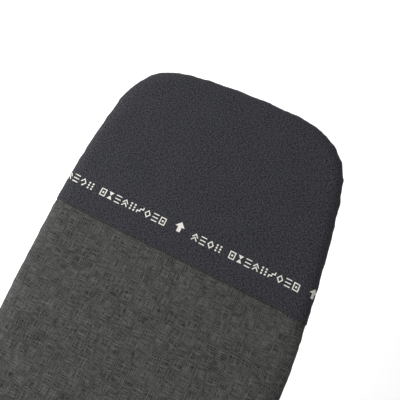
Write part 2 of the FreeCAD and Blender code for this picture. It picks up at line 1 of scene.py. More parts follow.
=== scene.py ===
"""Looks of a folding ironing board: padded fabric cover, steel mesh table, crossed tube legs.

Everything is in metres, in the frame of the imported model: +X along the table to its square end, +Y across,
+Z up.
"""

import json
import math

import bmesh
import bpy
import numpy as np
from mathutils import Matrix, Vector


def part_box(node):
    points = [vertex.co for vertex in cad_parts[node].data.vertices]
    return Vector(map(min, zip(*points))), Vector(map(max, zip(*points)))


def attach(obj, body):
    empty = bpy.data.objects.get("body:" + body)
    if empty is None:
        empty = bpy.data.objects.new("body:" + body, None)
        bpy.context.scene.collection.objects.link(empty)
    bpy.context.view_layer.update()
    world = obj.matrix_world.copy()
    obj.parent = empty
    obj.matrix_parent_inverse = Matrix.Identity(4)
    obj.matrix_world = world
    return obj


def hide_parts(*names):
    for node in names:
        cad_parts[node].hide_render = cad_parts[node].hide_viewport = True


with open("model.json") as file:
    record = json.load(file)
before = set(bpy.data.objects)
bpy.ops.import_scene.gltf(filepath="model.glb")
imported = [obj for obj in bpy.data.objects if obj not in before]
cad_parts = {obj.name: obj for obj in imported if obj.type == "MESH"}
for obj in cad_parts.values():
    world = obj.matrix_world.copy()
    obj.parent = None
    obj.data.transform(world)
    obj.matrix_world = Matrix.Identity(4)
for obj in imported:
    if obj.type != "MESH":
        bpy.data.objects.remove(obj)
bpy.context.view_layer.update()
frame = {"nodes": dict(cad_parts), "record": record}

MM = 0.001

# ---------------- sizes taken from the frame
main_low, main_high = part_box("cover_main")
heat_low, heat_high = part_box("cover_heat_zone")
felt_low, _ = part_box("felt_underlay")
NOSE_X = main_low.x
END_X = heat_high.x
WIDTH = main_high.y - main_low.y
TOP_Z = main_high.z
SEAM_X = heat_low.x
PAD_FLOOR = felt_low.z

# ---------------- outline of the cover
# Arcs from the middle of the square end round to the nose: (radius, heading in degrees where the arc stops).
END_RADIUS = 1.060
CORNER = (0.112, 81.1)
SHOULDER = (1.500, 90.0)
SIDE = (6.000, 93.0)
NOSE_RADIUS = 0.085


def end_turn():
    """Half the turn of the square end's arc, which makes the outline as wide as WIDTH."""
    sine = math.sin(math.radians(CORNER[1]))
    reach = WIDTH / 2 - SHOULDER[0] + (SHOULDER[0] - CORNER[0]) * sine
    return math.degrees(math.asin(reach / (END_RADIUS - CORNER[0])))


def follow(arcs, x, y):
    """Runs through arcs from heading 0 at (x, y).

    Returns the arcs as (centre x, centre y, radius, start angle, end angle), and the point where they end.
    """
    made, start = [], 0.0
    for radius, end in arcs:
        a, b = math.radians(start), math.radians(end)
        cx, cy = x - radius * math.cos(a), y - radius * math.sin(a)
        made.append((cx, cy, radius, a, b))
        x, y, start = cx + radius * math.cos(b), cy + radius * math.sin(b), end
    return made, x, y


def outline_arcs():
    """The +Y half of the outline. The taper arc's radius and turn are solved so that the nose closes."""
    head = [(END_RADIUS, end_turn()), CORNER, SHOULDER, SIDE]
    _, x, y = follow(head, END_X, 0.0)
    side, run = math.radians(SIDE[1] - 90), x - NOSE_X
    low, high = side + 0.01, math.radians(80)
    for _ in range(60):
        turn = (low + high) / 2
        radius = (run - NOSE_RADIUS * (1 - math.sin(turn))) / (math.sin(turn) - math.sin(side))
        miss = y - radius * (math.cos(side) - math.cos(turn)) - NOSE_RADIUS * math.cos(turn)
        low, high = (turn, high) if miss > 0 else (low, turn)
    arcs, _, _ = follow(head + [(radius, 90 + math.degrees(turn)), (NOSE_RADIUS, 180.0)], END_X, 0.0)
    return arcs


def sample_outline(count):
    """Points, outward normals, curvature and arc length at count even steps all the way round."""
    arcs = outline_arcs()
    lengths = np.array([r * (b - a) for _, _, r, a, b in arcs])
    ends = np.cumsum(lengths)
    half = ends[-1]
    s = np.arange(count) * (2 * half / count)
    place = np.where(s <= half, s, 2 * half - s)
    index = np.minimum(np.searchsorted(ends, place), len(arcs) - 1)
    cx, cy, r, a, _ = np.array(arcs).T[:, index]
    heading = a + (place - (ends[index] - lengths[index])) / r
    side = np.where(s <= half, 1.0, -1.0)
    normal = np.stack([np.cos(heading), side * np.sin(heading)], 1)
    points = np.stack([cx, side * cy], 1) + r[:, None] * normal
    return points, normal, 1 / r, s, 2 * half


# ---------------- small helpers

def smoothstep(a, b, x):
    """Rises smoothly from 0 at a to 1 at b."""
    t = np.clip((x - a) / (b - a), 0, 1)
    return t * t * (3 - 2 * t)


def wander(s, period, knots, seed, low=0.0, high=1.0):
    """A smooth closed random curve along arc length s, through evenly spaced random knots."""
    values = np.random.default_rng(seed).uniform(low, high, knots)
    t = (s / period) * knots
    k = np.floor(t).astype(int)
    f = t - k
    f = f * f * (3 - 2 * f)
    return values[k % knots] * (1 - f) + values[(k + 1) % knots] * f


def add_object(name, data):
    """A new object in the scene."""
    made = bpy.data.objects.new(name, data)
    bpy.context.scene.collection.objects.link(made)
    return made


def new_object(name, vertices, faces, material, uv=None):
    """A smooth mesh object in the scene. uv is each vertex's place on the flat cloth."""
    mesh = bpy.data.meshes.new(name)
    mesh.from_pydata([tuple(v) for v in vertices], [], [tuple(f) for f in faces])
    mesh.update()
    if uv is not None:
        layer = mesh.uv_layers.new(name="cloth")
        corners = np.zeros(len(mesh.loops), np.int32)
        mesh.loops.foreach_get("vertex_index", corners)
        layer.data.foreach_set("uv", np.asarray(uv, np.float32)[corners].ravel())
    mesh.polygons.foreach_set("use_smooth", [True] * len(mesh.polygons))
    mesh.materials.append(material)
    return add_object(name, mesh)


def place_on(piece, body):
    """Puts a piece on the body that it rides on."""
    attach(piece, body)


def closed_grid(rows, columns):
    """Quads of a grid whose columns close round, facing outwards for rows that run down and out."""
    j = np.arange(columns)
    after = (j + 1) % columns
    first = np.stack([j, columns + j, columns + after, after], 1)
    return np.concatenate([first + i * columns for i in range(rows - 1)])


# ---------------- materials

class Shader:
    """A small builder of node materials on one Principled shader."""

    WAVE_FACTOR = 20  # the wave texture's own factor between its scale and its phase

    def __init__(self, name, **sockets):
        self.material = bpy.data.materials.new(name)
        self.material.use_nodes = True
        self.tree = self.material.node_tree
        self.bsdf = self.tree.nodes["Principled BSDF"]
        self.height = None
        for socket, value in sockets.items():
            self.bsdf.inputs[socket.replace("_", " ")].default_value = value

    def node(self, kind, settings=(), **inputs):
        made = self.tree.nodes.new(kind)
        for key, value in dict(settings).items():
            setattr(made, key, value)
        for key, value in inputs.items():
            self.put(value, made.inputs[key.replace("_", " ")])
        return made

    def put(self, value, socket):
        if isinstance(value, bpy.types.NodeSocket):
            self.tree.links.new(value, socket)
        else:
            socket.default_value = value

    def place(self, cloth=False):
        """Where a point is: on the flat cloth for sewn pieces, else in the object's own space."""
        if cloth:
            return self.node("ShaderNodeUVMap", {"uv_map": "cloth"}).outputs["UV"]
        return self.node("ShaderNodeTexCoord").outputs["Object"]

    def scaled(self, vector, scale):
        return self.node("ShaderNodeMapping", Vector=vector, Scale=scale).outputs["Vector"]

    def noise(self, vector, scale, detail=2.0, roughness=0.5):
        """Noise of about one blotch per 1/scale metres, from 0 to 1."""
        made = self.node("ShaderNodeTexNoise", Vector=vector, Scale=scale, Detail=detail, Roughness=roughness)
        return made.outputs["Fac"]

    def voronoi(self, vector, scale, output="Distance"):
        return self.node("ShaderNodeTexVoronoi", Vector=vector, Scale=scale).outputs[output]

    def wave(self, vector, period, direction):
        """Sine bands with that period in metres, across X or Y, from 0 to 1."""
        made = self.node("ShaderNodeTexWave", {"bands_direction": direction}, Vector=vector,
                         Scale=2 * math.pi / (self.WAVE_FACTOR * period))
        return made.outputs["Fac"]

    def math(self, operation, a, b=0.0, clamp=False):
        made = self.tree.nodes.new("ShaderNodeMath")
        made.operation, made.use_clamp = operation, clamp
        self.put(a, made.inputs[0])
        self.put(b, made.inputs[1])
        return made.outputs[0]

    def spread(self, value, low, high, to_low=0.0, to_high=1.0):
        """Maps low..high to to_low..to_high, held at the ends."""
        return self.node("ShaderNodeMapRange", Value=value, From_Min=low, From_Max=high, To_Min=to_low,
                         To_Max=to_high).outputs["Result"]

    def vary(self, noise, to_low, to_high):
        """Maps most of what a noise gives to to_low..to_high."""
        return self.spread(noise, 0.3, 0.7, to_low, to_high)

    def mix(self, factor, a, b):
        made = self.tree.nodes.new("ShaderNodeMix")
        made.data_type = "RGBA"
        self.put(factor, made.inputs["Factor"])
        self.put(a, made.inputs[6])
        self.put(b, made.inputs[7])
        return made.outputs[2]

    def bump(self, height, distance, strength=1.0):
        """Adds a bump of that height in metres on top of those before it."""
        made = self.node("ShaderNodeBump", Height=height, Distance=distance, Strength=strength)
        if self.height is not None:
            self.tree.links.new(self.height, made.inputs["Normal"])
        self.height = made.outputs["Normal"]

    def done(self, colour, roughness):
        self.put(colour, self.bsdf.inputs["Base Color"])
        self.put(roughness, self.bsdf.inputs["Roughness"])
        if self.height is not None:
            self.put(self.height, self.bsdf.inputs["Normal"])
        return self.material


def scaled_colour(colour, factor, lift=0.0):
    """A colour made darker or lighter, held at white."""
    return tuple(min(1.0, factor * c + lift) for c in colour[:3]) + (1.0,)


CLOUD_SIZE = 45 * MM  # of the faint lighter and darker patches in a dyed cloth


def woven(name, dark, light, yarn, streak, flecks, speckle, cloudiness, relief):
    """Plain-woven cloth of uneven yarns: lighter slubs both ways on a dark ground, over a fine weave.

    yarn is the weave's period, streak the length and thickness of a slub, flecks the size of the speckle, and
    relief the depth of the pattern. speckle and cloudiness say how much those two vary the tone.
    """
    slub, gap = (0.44, 0.66), (0.30, 0.50, -0.2, 0.0)
    s = Shader(name, Sheen_Weight=0.03, Sheen_Roughness=0.5, Specular_IOR_Level=0.12)
    at = s.place(cloth=True)
    long, thin = 1 / streak[0], 1 / streak[1]
    warp = s.noise(s.scaled(at, (long, thin, 1.0)), 1.0, 3.0, 0.65)
    weft = s.noise(s.scaled(at, (thin, long, 1.0)), 1.0, 3.0, 0.65)
    across, along = s.wave(at, yarn, "X"), s.wave(at, yarn, "Y")
    grain = s.noise(at, 1 / flecks, 2.0, 0.6)
    cloudy = s.noise(at, 1 / CLOUD_SIZE, 2.0, 0.5)
    slubs = s.math("MAXIMUM", s.spread(warp, *slub), s.spread(weft, *slub))
    gaps = s.math("MINIMUM", s.spread(warp, *gap), s.spread(weft, *gap))
    tone = s.math("ADD", s.math("ADD", slubs, gaps), s.vary(grain, -speckle, speckle))
    tone = s.math("ADD", tone, s.vary(cloudy, -cloudiness, cloudiness))
    weave = s.math("MULTIPLY", across, along)
    # The weave's crossings, where its bump is high, are painted lighter and the hollows between the yarns
    # darker: painted light and shade on the yarns.
    tone = s.math("ADD", tone, s.spread(weave, 0.0, 1.0, -0.06, 0.10), clamp=True)
    s.bump(s.math("ADD", across, along), 0.10 * MM, 0.7)
    s.bump(tone, relief, 0.6)
    return s.done(s.mix(tone, dark, light), s.spread(tone, 0.0, 1.0, 0.95, 0.82))


def powder_coat(name, colour):
    """Baked powder paint on steel tube: fine orange peel, faint clouding, dust and a few scuffs."""
    s = Shader(name, Metallic=0.0, Coat_Weight=0.15, Coat_Roughness=0.3)
    at = s.place()
    cloudy = s.noise(at, 12.0, 4.0, 0.6)
    specks = s.spread(s.voronoi(at, 900.0), 0.0, 0.16, 1.0, 0.0)
    scuffs = s.spread(s.noise(s.scaled(at, (40.0, 160.0, 40.0)), 1.0, 6.0, 0.7), 0.66, 0.72)
    dark, bright = scaled_colour(colour, 0.82), scaled_colour(colour, 1.25, 0.02)
    shade = s.mix(s.spread(cloudy, 0.3, 0.7), dark, colour)
    shade = s.mix(s.math("MULTIPLY", specks, 0.25), shade, bright)
    shade = s.mix(s.math("MULTIPLY", scuffs, 0.35), shade, bright)
    s.bump(s.noise(at, 1100.0, 2.0), 0.05 * MM, 0.6)
    rough = s.math("ADD", s.vary(cloudy, 0.34, 0.46), s.math("MULTIPLY", scuffs, 0.12))
    return s.done(shade, rough)


def bare_metal(name, colour, roughness, brushed=(900.0, 60.0, 900.0)):
    """Zinc-plated or bright steel: crystal-like clouding and fine drawn lines."""
    s = Shader(name, Metallic=1.0)
    at = s.place()
    spangle = s.voronoi(at, 260.0, "Color")
    lines = s.noise(s.scaled(at, brushed), 1.0, 3.0, 0.6)
    dark = scaled_colour(colour, 0.72)
    tint = s.mix(s.math("MULTIPLY", spangle, 0.35), colour, dark)
    shade = s.mix(s.spread(lines, 0.35, 0.7, 0.0, 0.5), tint, dark)
    s.bump(lines, 0.02 * MM, 0.5)
    return s.done(shade, s.vary(lines, roughness, roughness + 0.16))


def moulded(name, colour, roughness=0.5):
    """Moulded plastic with a spark-eroded grain and handling polish."""
    s = Shader(name, Specular_IOR_Level=0.45)
    at = s.place()
    grain = s.noise(at, 1700.0, 2.0, 0.5)
    polish = s.noise(at, 30.0, 3.0, 0.5)
    bright = scaled_colour(colour, 1.35, 0.01)
    s.bump(grain, 0.06 * MM, 0.8)
    shade = s.mix(s.math("MULTIPLY", s.spread(grain, 0.4, 0.7), 0.4), colour, bright)
    return s.done(shade, s.vary(polish, roughness - 0.08, roughness + 0.1))


def felted(name, dark, light):
    """Needled recycled felt: matted fibres in mixed greys with a few coloured ones."""
    s = Shader(name, Sheen_Weight=0.3, Sheen_Roughness=0.6, Specular_IOR_Level=0.15)
    at = s.place()
    fibres = s.noise(s.scaled(at, (500.0, 1300.0, 900.0)), 1.0, 5.0, 0.75)
    crossing = s.noise(s.scaled(at, (1400.0, 450.0, 900.0)), 1.0, 5.0, 0.75)
    lumps = s.noise(at, 90.0, 3.0, 0.6)
    tone = s.math("MULTIPLY", s.math("ADD", fibres, crossing), 0.5)
    flecks = s.spread(s.noise(at, 700.0, 2.0, 0.5), 0.68, 0.74)
    shade = s.mix(s.spread(tone, 0.35, 0.65), dark, light)
    shade = s.mix(s.math("MULTIPLY", flecks, 0.5), shade, (0.06, 0.09, 0.16, 1.0))
    s.bump(lumps, 0.8 * MM, 0.5)
    s.bump(tone, 0.5 * MM, 0.8)
    return s.done(shade, s.vary(tone, 0.98, 0.86))


def foamed(name, colour):
    """Open-cell polyurethane foam."""
    s = Shader(name, Specular_IOR_Level=0.2)
    at = s.place()
    cells = s.voronoi(at, 900.0)
    # Darker in the pits of the cells, where the bump is low: painted shade in the pores.
    pit_shade = scaled_colour(colour, 0.75)
    s.bump(cells, 0.5 * MM, 0.9)
    return s.done(s.mix(s.spread(cells, 0.1, 0.6), pit_shade, colour), s.spread(cells, 0.1, 0.6, 0.98, 0.85))


def thread(name, colour):
    """Twisted sewing thread."""
    s = Shader(name, Sheen_Weight=0.05, Sheen_Roughness=0.4, Specular_IOR_Level=0.2)
    at = s.place()
    ply = s.noise(s.scaled(at, (2600.0, 2600.0, 2600.0)), 1.0, 1.0)
    bright = scaled_colour(colour, 1.6)
    s.bump(ply, 0.08 * MM, 0.8)
    return s.done(s.mix(ply, colour, bright), s.vary(ply, 0.65, 0.5))


def printed_ink(name, colour):
    """Screen-printed ink on cloth: the weave shows through as small gaps and relief."""
    s = Shader(name, Specular_IOR_Level=0.3)
    at = s.place()
    weave = s.math("MULTIPLY", s.wave(at, 0.9 * MM, "X"), s.wave(at, 0.9 * MM, "Y"))
    worn = s.noise(at, 420.0, 3.0, 0.6)
    thin = scaled_colour(colour, 0.72)
    s.bump(weave, 0.12 * MM, 0.6)
    return s.done(s.mix(s.spread(worn, 0.55, 0.75), colour, thin), s.spread(weave, 0.0, 1.0, 0.75, 0.6))


def pale_floor():
    """Matt studio floor, which glows a little so that it reads as white."""
    s = Shader("studio_floor", Specular_IOR_Level=0.1, Emission_Color=(1, 1, 1, 1), Emission_Strength=0.24)
    cloudy = s.noise(s.place(), 1.2, 3.0, 0.5)
    return s.done(s.mix(cloudy, (0.90, 0.90, 0.90, 1), (0.93, 0.93, 0.93, 1)), 0.9)


GRAPHITE = (0.105, 0.107, 0.112, 1.0)
finish = {
    "leg_paint": powder_coat("leg_powder_coat", GRAPHITE),
    "table_paint": powder_coat("table_powder_coat", GRAPHITE),
    "mesh_paint": powder_coat("mesh_powder_coat", (0.13, 0.132, 0.138, 1.0)),
    "zinc_plate": bare_metal("zinc_plate", (0.60, 0.61, 0.63, 1.0), 0.32),
    "bright_steel": bare_metal("bright_steel", (0.70, 0.70, 0.71, 1.0), 0.18, (60.0, 1200.0, 1200.0)),
    "zinc_fasteners": bare_metal("zinc_fasteners", (0.62, 0.62, 0.60, 1.0), 0.28),
    "spring_steel": bare_metal("spring_steel", (0.42, 0.42, 0.44, 1.0), 0.25),
    "bearing_plastic": moulded("bearing_plastic", (0.60, 0.60, 0.58, 1.0), 0.42),
    "grip_plastic": moulded("grip_plastic", (0.028, 0.028, 0.031, 1.0), 0.52),
    "cap_plastic": moulded("cap_plastic", (0.020, 0.020, 0.022, 1.0), 0.55),
    "felt": felted("needle_felt", (0.20, 0.20, 0.205, 1.0), (0.55, 0.54, 0.51, 1.0)),
    "foam": foamed("pad_foam", (0.62, 0.58, 0.42, 1.0)),
    "cover_fabric": woven("cover_melange", (0.005, 0.005, 0.0045, 1), (0.104, 0.104, 0.1, 1), 1.1 * MM,
                          (19 * MM, 0.58 * MM), 1.5 * MM, 0.20, 0.06, 0.25 * MM),
    "heat_fabric": woven("heat_panel_cloth", (0.0025, 0.0025, 0.0033, 1), (0.058, 0.059, 0.07, 1), 0.8 * MM,
                         (3.2 * MM, 0.75 * MM), 2.2 * MM, 0.32, 0.02, 0.08 * MM),
    "elastic": thread("elastic_braid", (0.03, 0.03, 0.032, 1.0)),
}
INK = printed_ink("print_ink", (0.54, 0.525, 0.485, 1.0))
DARK_THREAD = thread("dark_thread", (0.012, 0.012, 0.014, 1.0))
GREY_THREAD = thread("grey_thread", (0.05, 0.05, 0.05, 1.0))

for part in frame["record"]["subparts"]:
    cad = frame["nodes"][part["node"]]
    cad.data.materials.clear()
    cad.data.materials.append(finish[part["material_slot"]])


# ---------------- cover: shape
# Each cloth is cut flat and then draped. Its middle lies as it does on the board, and what hangs past the
# top's flat part is unrolled outwards. The profile takes that over the padded shoulder, down the skirt, round
# the rim, back under the table and round the elastic. Insets are from the outline, and drops from the top.
SHOULDER_INSET, SHOULDER_DROP = 24 * MM, 14 * MM
SKIRT_INSET, SKIRT_DROP = 1.5 * MM, 22 * MM
TURN_RADIUS = 9 * MM
RETURN_INSET, RETURN_DROP = 29 * MM, 30.4 * MM
ROLL_INSET, ROLL_DROP, ROLL_RADIUS = 32 * MM, 27.6 * MM, 3.1 * MM
TUCK_INSET, TUCK_DROP = 27.5 * MM, 29.9 * MM
SHOULDER_ROWS = 11
GATHER_DEPTH = 5.0 * MM  # of the elastic's gathers, at the hem
PUCKER_HEIGHT = 1.9 * MM  # of a gather that pulls through to the top edge
CROWN = 1.3 * MM  # how much higher the padded middle is than the edge
CROWN_REACH = 50 * MM  # how far in from the edge the crown still shows
SKIRT_SHARES = (0.4, 0.7, 1.0)
SWELL_FADE, PUCKER_FADE = 15 * MM, 9 * MM  # how soon the top's waves and lifts die out at the edge
HEM_START = 6 * MM  # over how much of the hem what is lifted off the cloth comes down to it
COLUMNS = 1800  # of the cloth's grid, all the way round
EDGE, NORMAL, CURVE, ALONG, AROUND = sample_outline(COLUMNS)
RING = EDGE - SHOULDER_INSET * NORMAL
RING_RADIUS = 1 / CURVE - SHOULDER_INSET


def profile():
    """Rows of inset, drop, way out (outwards, up), share of the gathering and share of the puckering."""
    rows = []
    for t in np.radians(np.linspace(0, 90, SHOULDER_ROWS)):
        share = math.sin(t) ** 2
        rows.append((SHOULDER_INSET * (1 - math.sin(t)), SHOULDER_DROP * (1 - math.cos(t)),
                     math.sin(t), math.cos(t), 0.08 * share, share))
    for f in SKIRT_SHARES:
        rows.append((f * SKIRT_INSET, SHOULDER_DROP + f * (SKIRT_DROP - SHOULDER_DROP),
                     1.0, 0.0, 0.08 + 0.14 * f, 1.0))
    for u in np.radians((18, 36, 54, 72, 90)):
        turned = math.sin(u)
        rows.append((SKIRT_INSET + TURN_RADIUS * (1 - math.cos(u)), SKIRT_DROP + TURN_RADIUS * turned,
                     math.cos(u), -turned, 0.22 + 0.23 * turned, 1.0 - 0.9 * turned))
    inset, drop = rows[-1][:2]
    for f in (0.2, 0.4, 0.6, 0.8, 1.0):
        rows.append((inset + f * (RETURN_INSET - inset), drop + f * (RETURN_DROP - drop),
                     0.0, -1.0, 0.45 + 0.55 * f, 0.1 - 0.1 * f))
    for w in np.radians(np.linspace(-90, 150, 9)):
        rows.append((ROLL_INSET + ROLL_RADIUS * math.cos(w), ROLL_DROP - ROLL_RADIUS * math.sin(w),
                     0.0, -1.0, 1.0, 0.0))
    rows.append((TUCK_INSET, TUCK_DROP, 0.0, -1.0, 1.0, 0.0))
    return np.array(rows)


PROFILE = profile()
RUN = np.concatenate([[0.0], np.cumsum(np.hypot(*np.diff(PROFILE[:, :2], axis=0).T))])
SKIRT_END = RUN[SHOULDER_ROWS + len(SKIRT_SHARES) - 1]
HANG = RUN[-1]  # how far the flat cloth reaches past the top's flat part
HEM = HANG - 24 * MM  # from here on, the cloth goes into the hem


def blur(values, width):
    """Averages a closed curve over that arc length."""
    reach = int(width / AROUND * COLUMNS / 2)
    kernel = np.hanning(2 * reach + 3)
    wrapped = np.concatenate([values[-reach - 1:], values, values[:reach + 1]])
    return np.convolve(wrapped, kernel / kernel.sum(), "valid")


SIDE_GATHERS = 0.32  # the strength of the gathers where the edge runs straight
CROWDED_CURVE = 8.0  # the curvature, per metre, where they are at their full strength


def gather_valleys():
    """Valleys of the elastic's gathers, 0 on the ridges: shallow on the sides, deep at the round ends."""
    crowding = SIDE_GATHERS + (1 - SIDE_GATHERS) * np.clip(blur(CURVE, 0.09) / CROWDED_CURVE, 0, 1)
    spacing = wander(ALONG, AROUND, 61, 11, 9.5 * MM, 16 * MM) + 4 * MM * (1 - crowding)
    phase = np.cumsum(2 * math.pi * (AROUND / COLUMNS) / spacing)
    phase *= 2 * math.pi * round(phase[-1] / (2 * math.pi)) / phase[-1]
    depth = wander(ALONG, AROUND, 173, 12, 0.45, 1.0)
    return (1 - (0.5 + 0.5 * np.cos(phase)) ** 0.8) * depth * crowding


# Pulls placed one by one round the square end: millimetres from its middle, share of PUCKER_HEIGHT, and width
# in millimetres. The first is where the cloth hangs a little loose beside the seam.
END_PULLS = ((-560, 1.9, 60), (-325, 0.5, 8), (-287, 0.95, 10), (-243, 0.6, 7), (-212, 0.95, 8),
             (-182, 0.8, 8), (-95, 0.75, 11), (-36, 0.7, 9), (22, 0.3, 7), (80, 0.7, 8), (178, 1.2, 26),
             (262, 0.45, 9), (300, 0.3, 7))
RANDOM_PULLS_START, RANDOM_PULLS_STOP = 0.31, 0.34  # metres past and before the end's middle


def puckers():
    """Where gathers pull through to the top edge: the placed ones, and random ones elsewhere."""
    half = AROUND / 2
    away_from_end = (ALONG + half) % AROUND - half
    bumps = np.zeros(COLUMNS)
    for place, height, width in END_PULLS:
        bumps += height * np.exp(-(((away_from_end - place * MM) / (width * MM)) ** 2))
    strength = 0.25 + 0.5 * np.clip(blur(CURVE, 0.16) / 5.0, 0, 1)
    draw = np.random.default_rng(5)
    place = RANDOM_PULLS_START
    while place < AROUND - RANDOM_PULLS_STOP:
        place += draw.uniform(26, 54) * MM
        width, height = draw.uniform(4.5, 8.5) * MM, draw.uniform(0.3, 1.0)
        bumps += height * strength * np.exp(-(((ALONG - place) / width) ** 2))
    return bumps


VALLEYS = gather_valleys()
PUCKERS = puckers()


def swell(x, y):
    """The padded top isn't dead flat: long, low waves along it and across it, with their crests bent."""
    def wave(a, length, b, bend, bend_length):
        return np.sin(2 * math.pi * a / length + bend * np.sin(2 * math.pi * b / bend_length))

    return 0.22 * MM * wave(x, 0.19, y, 1.7, 0.31) + 0.16 * MM * wave(y, 0.13, x, 1.1, 0.27)


def nearest_column(flat):
    """The nearest column of the ring to each point of the flat cloth."""
    found = np.empty(len(flat), int)
    for start in range(0, len(flat), 4000):
        block = flat[start:start + 4000]
        away = (block[:, :1] - RING[:, 0]) ** 2 + (block[:, 1:] - RING[:, 1]) ** 2
        found[start:start + 4000] = away.argmin(1)
    return found


def drawn(run, place):
    """How the elastic draws the cloth in before it settles: outwards, along the edge and upwards."""
    valley = np.interp(place, ALONG, VALLEYS, period=AROUND)
    _, _, out, up, gather, _ = (np.interp(run, RUN, column) for column in PROFILE.T)
    push = -gather * GATHER_DEPTH * valley
    return np.stack([push * out, np.zeros_like(push), push * up], -1)


# The cover's border is a cloth simulation: taut over the pad and rim, and gathered at the hem by the elastic.
# The cloth is cut wider than the rim it goes round, so it buckles into folds of its own.
SIM_COLUMNS = 900
SIM_ROWS = np.concatenate([[-22 * MM, -17 * MM, -11 * MM, -5 * MM], np.linspace(0, HEM, 21)])
SIM_FLARE = 0.35  # how much wider than the rim the cloth is cut, per metre of hang
SIM_CRIMP = 1.3 * MM  # zigzag in the cut cloth towards its hem, which starts the folds
SIM_FRAMES = 16
SIM_CAP = 5 * MM  # the furthest that a point may settle from the smooth profile
SIM_GAP = 0.6 * MM
FORMER_INSET = 1.6 * MM  # from the cloth down to what it is stretched over
RIM_INSET, RIM_DROP, RIM_RADIUS = 13 * MM, 19 * MM, 8.2 * MM
DRAWN_AT_START = 0.4  # how much of the gathering the cloth is put on with
CLOTH_SETTINGS = {"quality": 5, "mass": 0.3, "tension_stiffness": 25, "compression_stiffness": 25,
                  "shear_stiffness": 4, "bending_stiffness": 0.06, "air_damping": 4, "tension_damping": 8,
                  "compression_damping": 8}
EVERY = COLUMNS // SIM_COLUMNS
SIM_RING, SIM_EDGE, SIM_NORMAL, SIM_ALONG = RING[::EVERY], EDGE[::EVERY], NORMAL[::EVERY], ALONG[::EVERY]
SIM_TANGENT = np.column_stack([-SIM_NORMAL[:, 1], SIM_NORMAL[:, 0]])


def smooth_row(past):
    """How far out from the edge, and how high, the smooth profile is at that distance past the ring."""
    inset, drop = (np.interp(max(past, 0.0), RUN, PROFILE[:, k]) for k in (0, 1))
    return -inset + min(past, 0.0), TOP_Z - CROWN * math.exp(min(past, 0.0) / CROWN_REACH) - drop


def border_loop(outwards, height):
    """A closed loop of points that far out from the edge, at that height."""
    level = np.zeros(SIM_COLUMNS)
    return np.column_stack([SIM_EDGE + (level + outwards)[:, None] * SIM_NORMAL, level + height])


def border_shapes():
    """The border's points as it is put on, partly gathered, and as it was cut, flaring out past the ring."""
    put_on, as_cut = [], []
    crimp = np.where(np.arange(SIM_COLUMNS) % 2 == 0, 0.5, -0.5)
    for past in SIM_ROWS:
        outwards, height = smooth_row(past)
        hang = max(past, 0.0)
        share = DRAWN_AT_START if past < SIM_ROWS[-1] else 1.0
        shift = drawn(np.full(SIM_COLUMNS, hang), SIM_ALONG) * share
        put_on.append(border_loop(outwards + shift[:, 0], height + shift[:, 2]))
        crimped = crimp * SIM_CRIMP * smoothstep(20 * MM, 60 * MM, past)
        flat = SIM_RING + (min(past, 0.0) + SIM_FLARE * hang) * SIM_NORMAL
        as_cut.append(np.column_stack([flat, TOP_Z + crimped - math.sqrt(1 - SIM_FLARE ** 2) * hang]))
    return np.concatenate(put_on), np.concatenate(as_cut)


def border_cloth():
    """The trial cloth, held along the ring and at the hem."""
    put_on, as_cut = border_shapes()
    rows = len(SIM_ROWS)
    cloth = new_object("border_trial", put_on, closed_grid(rows, SIM_COLUMNS), finish["cover_fabric"])
    cloth.shape_key_add(name="worn")
    cut_shape = cloth.shape_key_add(name="as_cut")
    cut_shape.data.foreach_set("co", as_cut.astype(np.float32).ravel())
    held = cloth.vertex_groups.new(name="held")
    held.add([*range(2 * SIM_COLUMNS), *range((rows - 1) * SIM_COLUMNS, rows * SIM_COLUMNS)], 1.0, "REPLACE")
    sim = cloth.modifiers.new("cloth", "CLOTH")
    sim.settings.rest_shape_key = cut_shape
    sim.settings.vertex_group_mass = "held"
    sim.settings.effector_weights.gravity = 0.5
    for setting, value in CLOTH_SETTINGS.items():
        setattr(sim.settings, setting, value)
    sim.collision_settings.collision_quality = 3
    sim.collision_settings.distance_min = SIM_GAP
    sim.point_cache.frame_start, sim.point_cache.frame_end = 1, SIM_FRAMES
    return cloth


def border_former():
    """What the trial cloth goes over: the padded edge, and the rim tube down to its inner side."""
    shell = []
    for past in SIM_ROWS[SIM_ROWS < SKIRT_END]:
        outwards, height = smooth_row(past)
        out, up = (np.interp(max(past, 0.0), RUN, PROFILE[:, k]) for k in (2, 3))
        shell.append(border_loop(outwards - FORMER_INSET * out, height - FORMER_INSET * up))
    for turn in np.radians(np.linspace(0, 180, 10)):
        shell.append(border_loop(-RIM_INSET + RIM_RADIUS * math.cos(turn),
                                 TOP_Z - RIM_DROP - RIM_RADIUS * math.sin(turn)))
    former = new_object("border_former", np.concatenate(shell), closed_grid(len(shell), SIM_COLUMNS),
                        finish["cover_fabric"])
    former.modifiers.new("collide", "COLLISION")
    former.collision.thickness_outer = SIM_GAP
    former.collision.cloth_friction = 8
    return former


def settle():
    """Runs the cloth simulation, and returns how far out, along and up each point of its grid moves."""
    cloth, former = border_cloth(), border_former()
    scene = bpy.context.scene
    for number in range(1, SIM_FRAMES + 1):
        scene.frame_set(number)
    found = np.empty(len(cloth.data.vertices) * 3)
    hung = cloth.evaluated_get(bpy.context.evaluated_depsgraph_get())
    hung.data.vertices.foreach_get("co", found)
    scene.frame_set(1)
    for trial in (cloth, former):
        mesh = trial.data
        bpy.data.objects.remove(trial)
        bpy.data.meshes.remove(mesh)

    smooth = np.array([border_loop(*smooth_row(past)) for past in SIM_ROWS])
    moved = found.reshape(smooth.shape) - smooth
    out, beside = ((moved[..., :2] * way).sum(2) for way in (SIM_NORMAL, SIM_TANGENT))
    field = np.stack([out, beside, moved[..., 2]], 2)
    field = (np.roll(field, 1, 1) + 2 * field + np.roll(field, -1, 1)) / 4
    return np.clip(field, -SIM_CAP, SIM_CAP)


def finer(field, times):
    """The same closed rows with that many times the columns, through a smooth curve."""
    count = field.shape[1]
    return np.fft.irfft(np.fft.rfft(field, axis=1), n=count * times, axis=1) * times


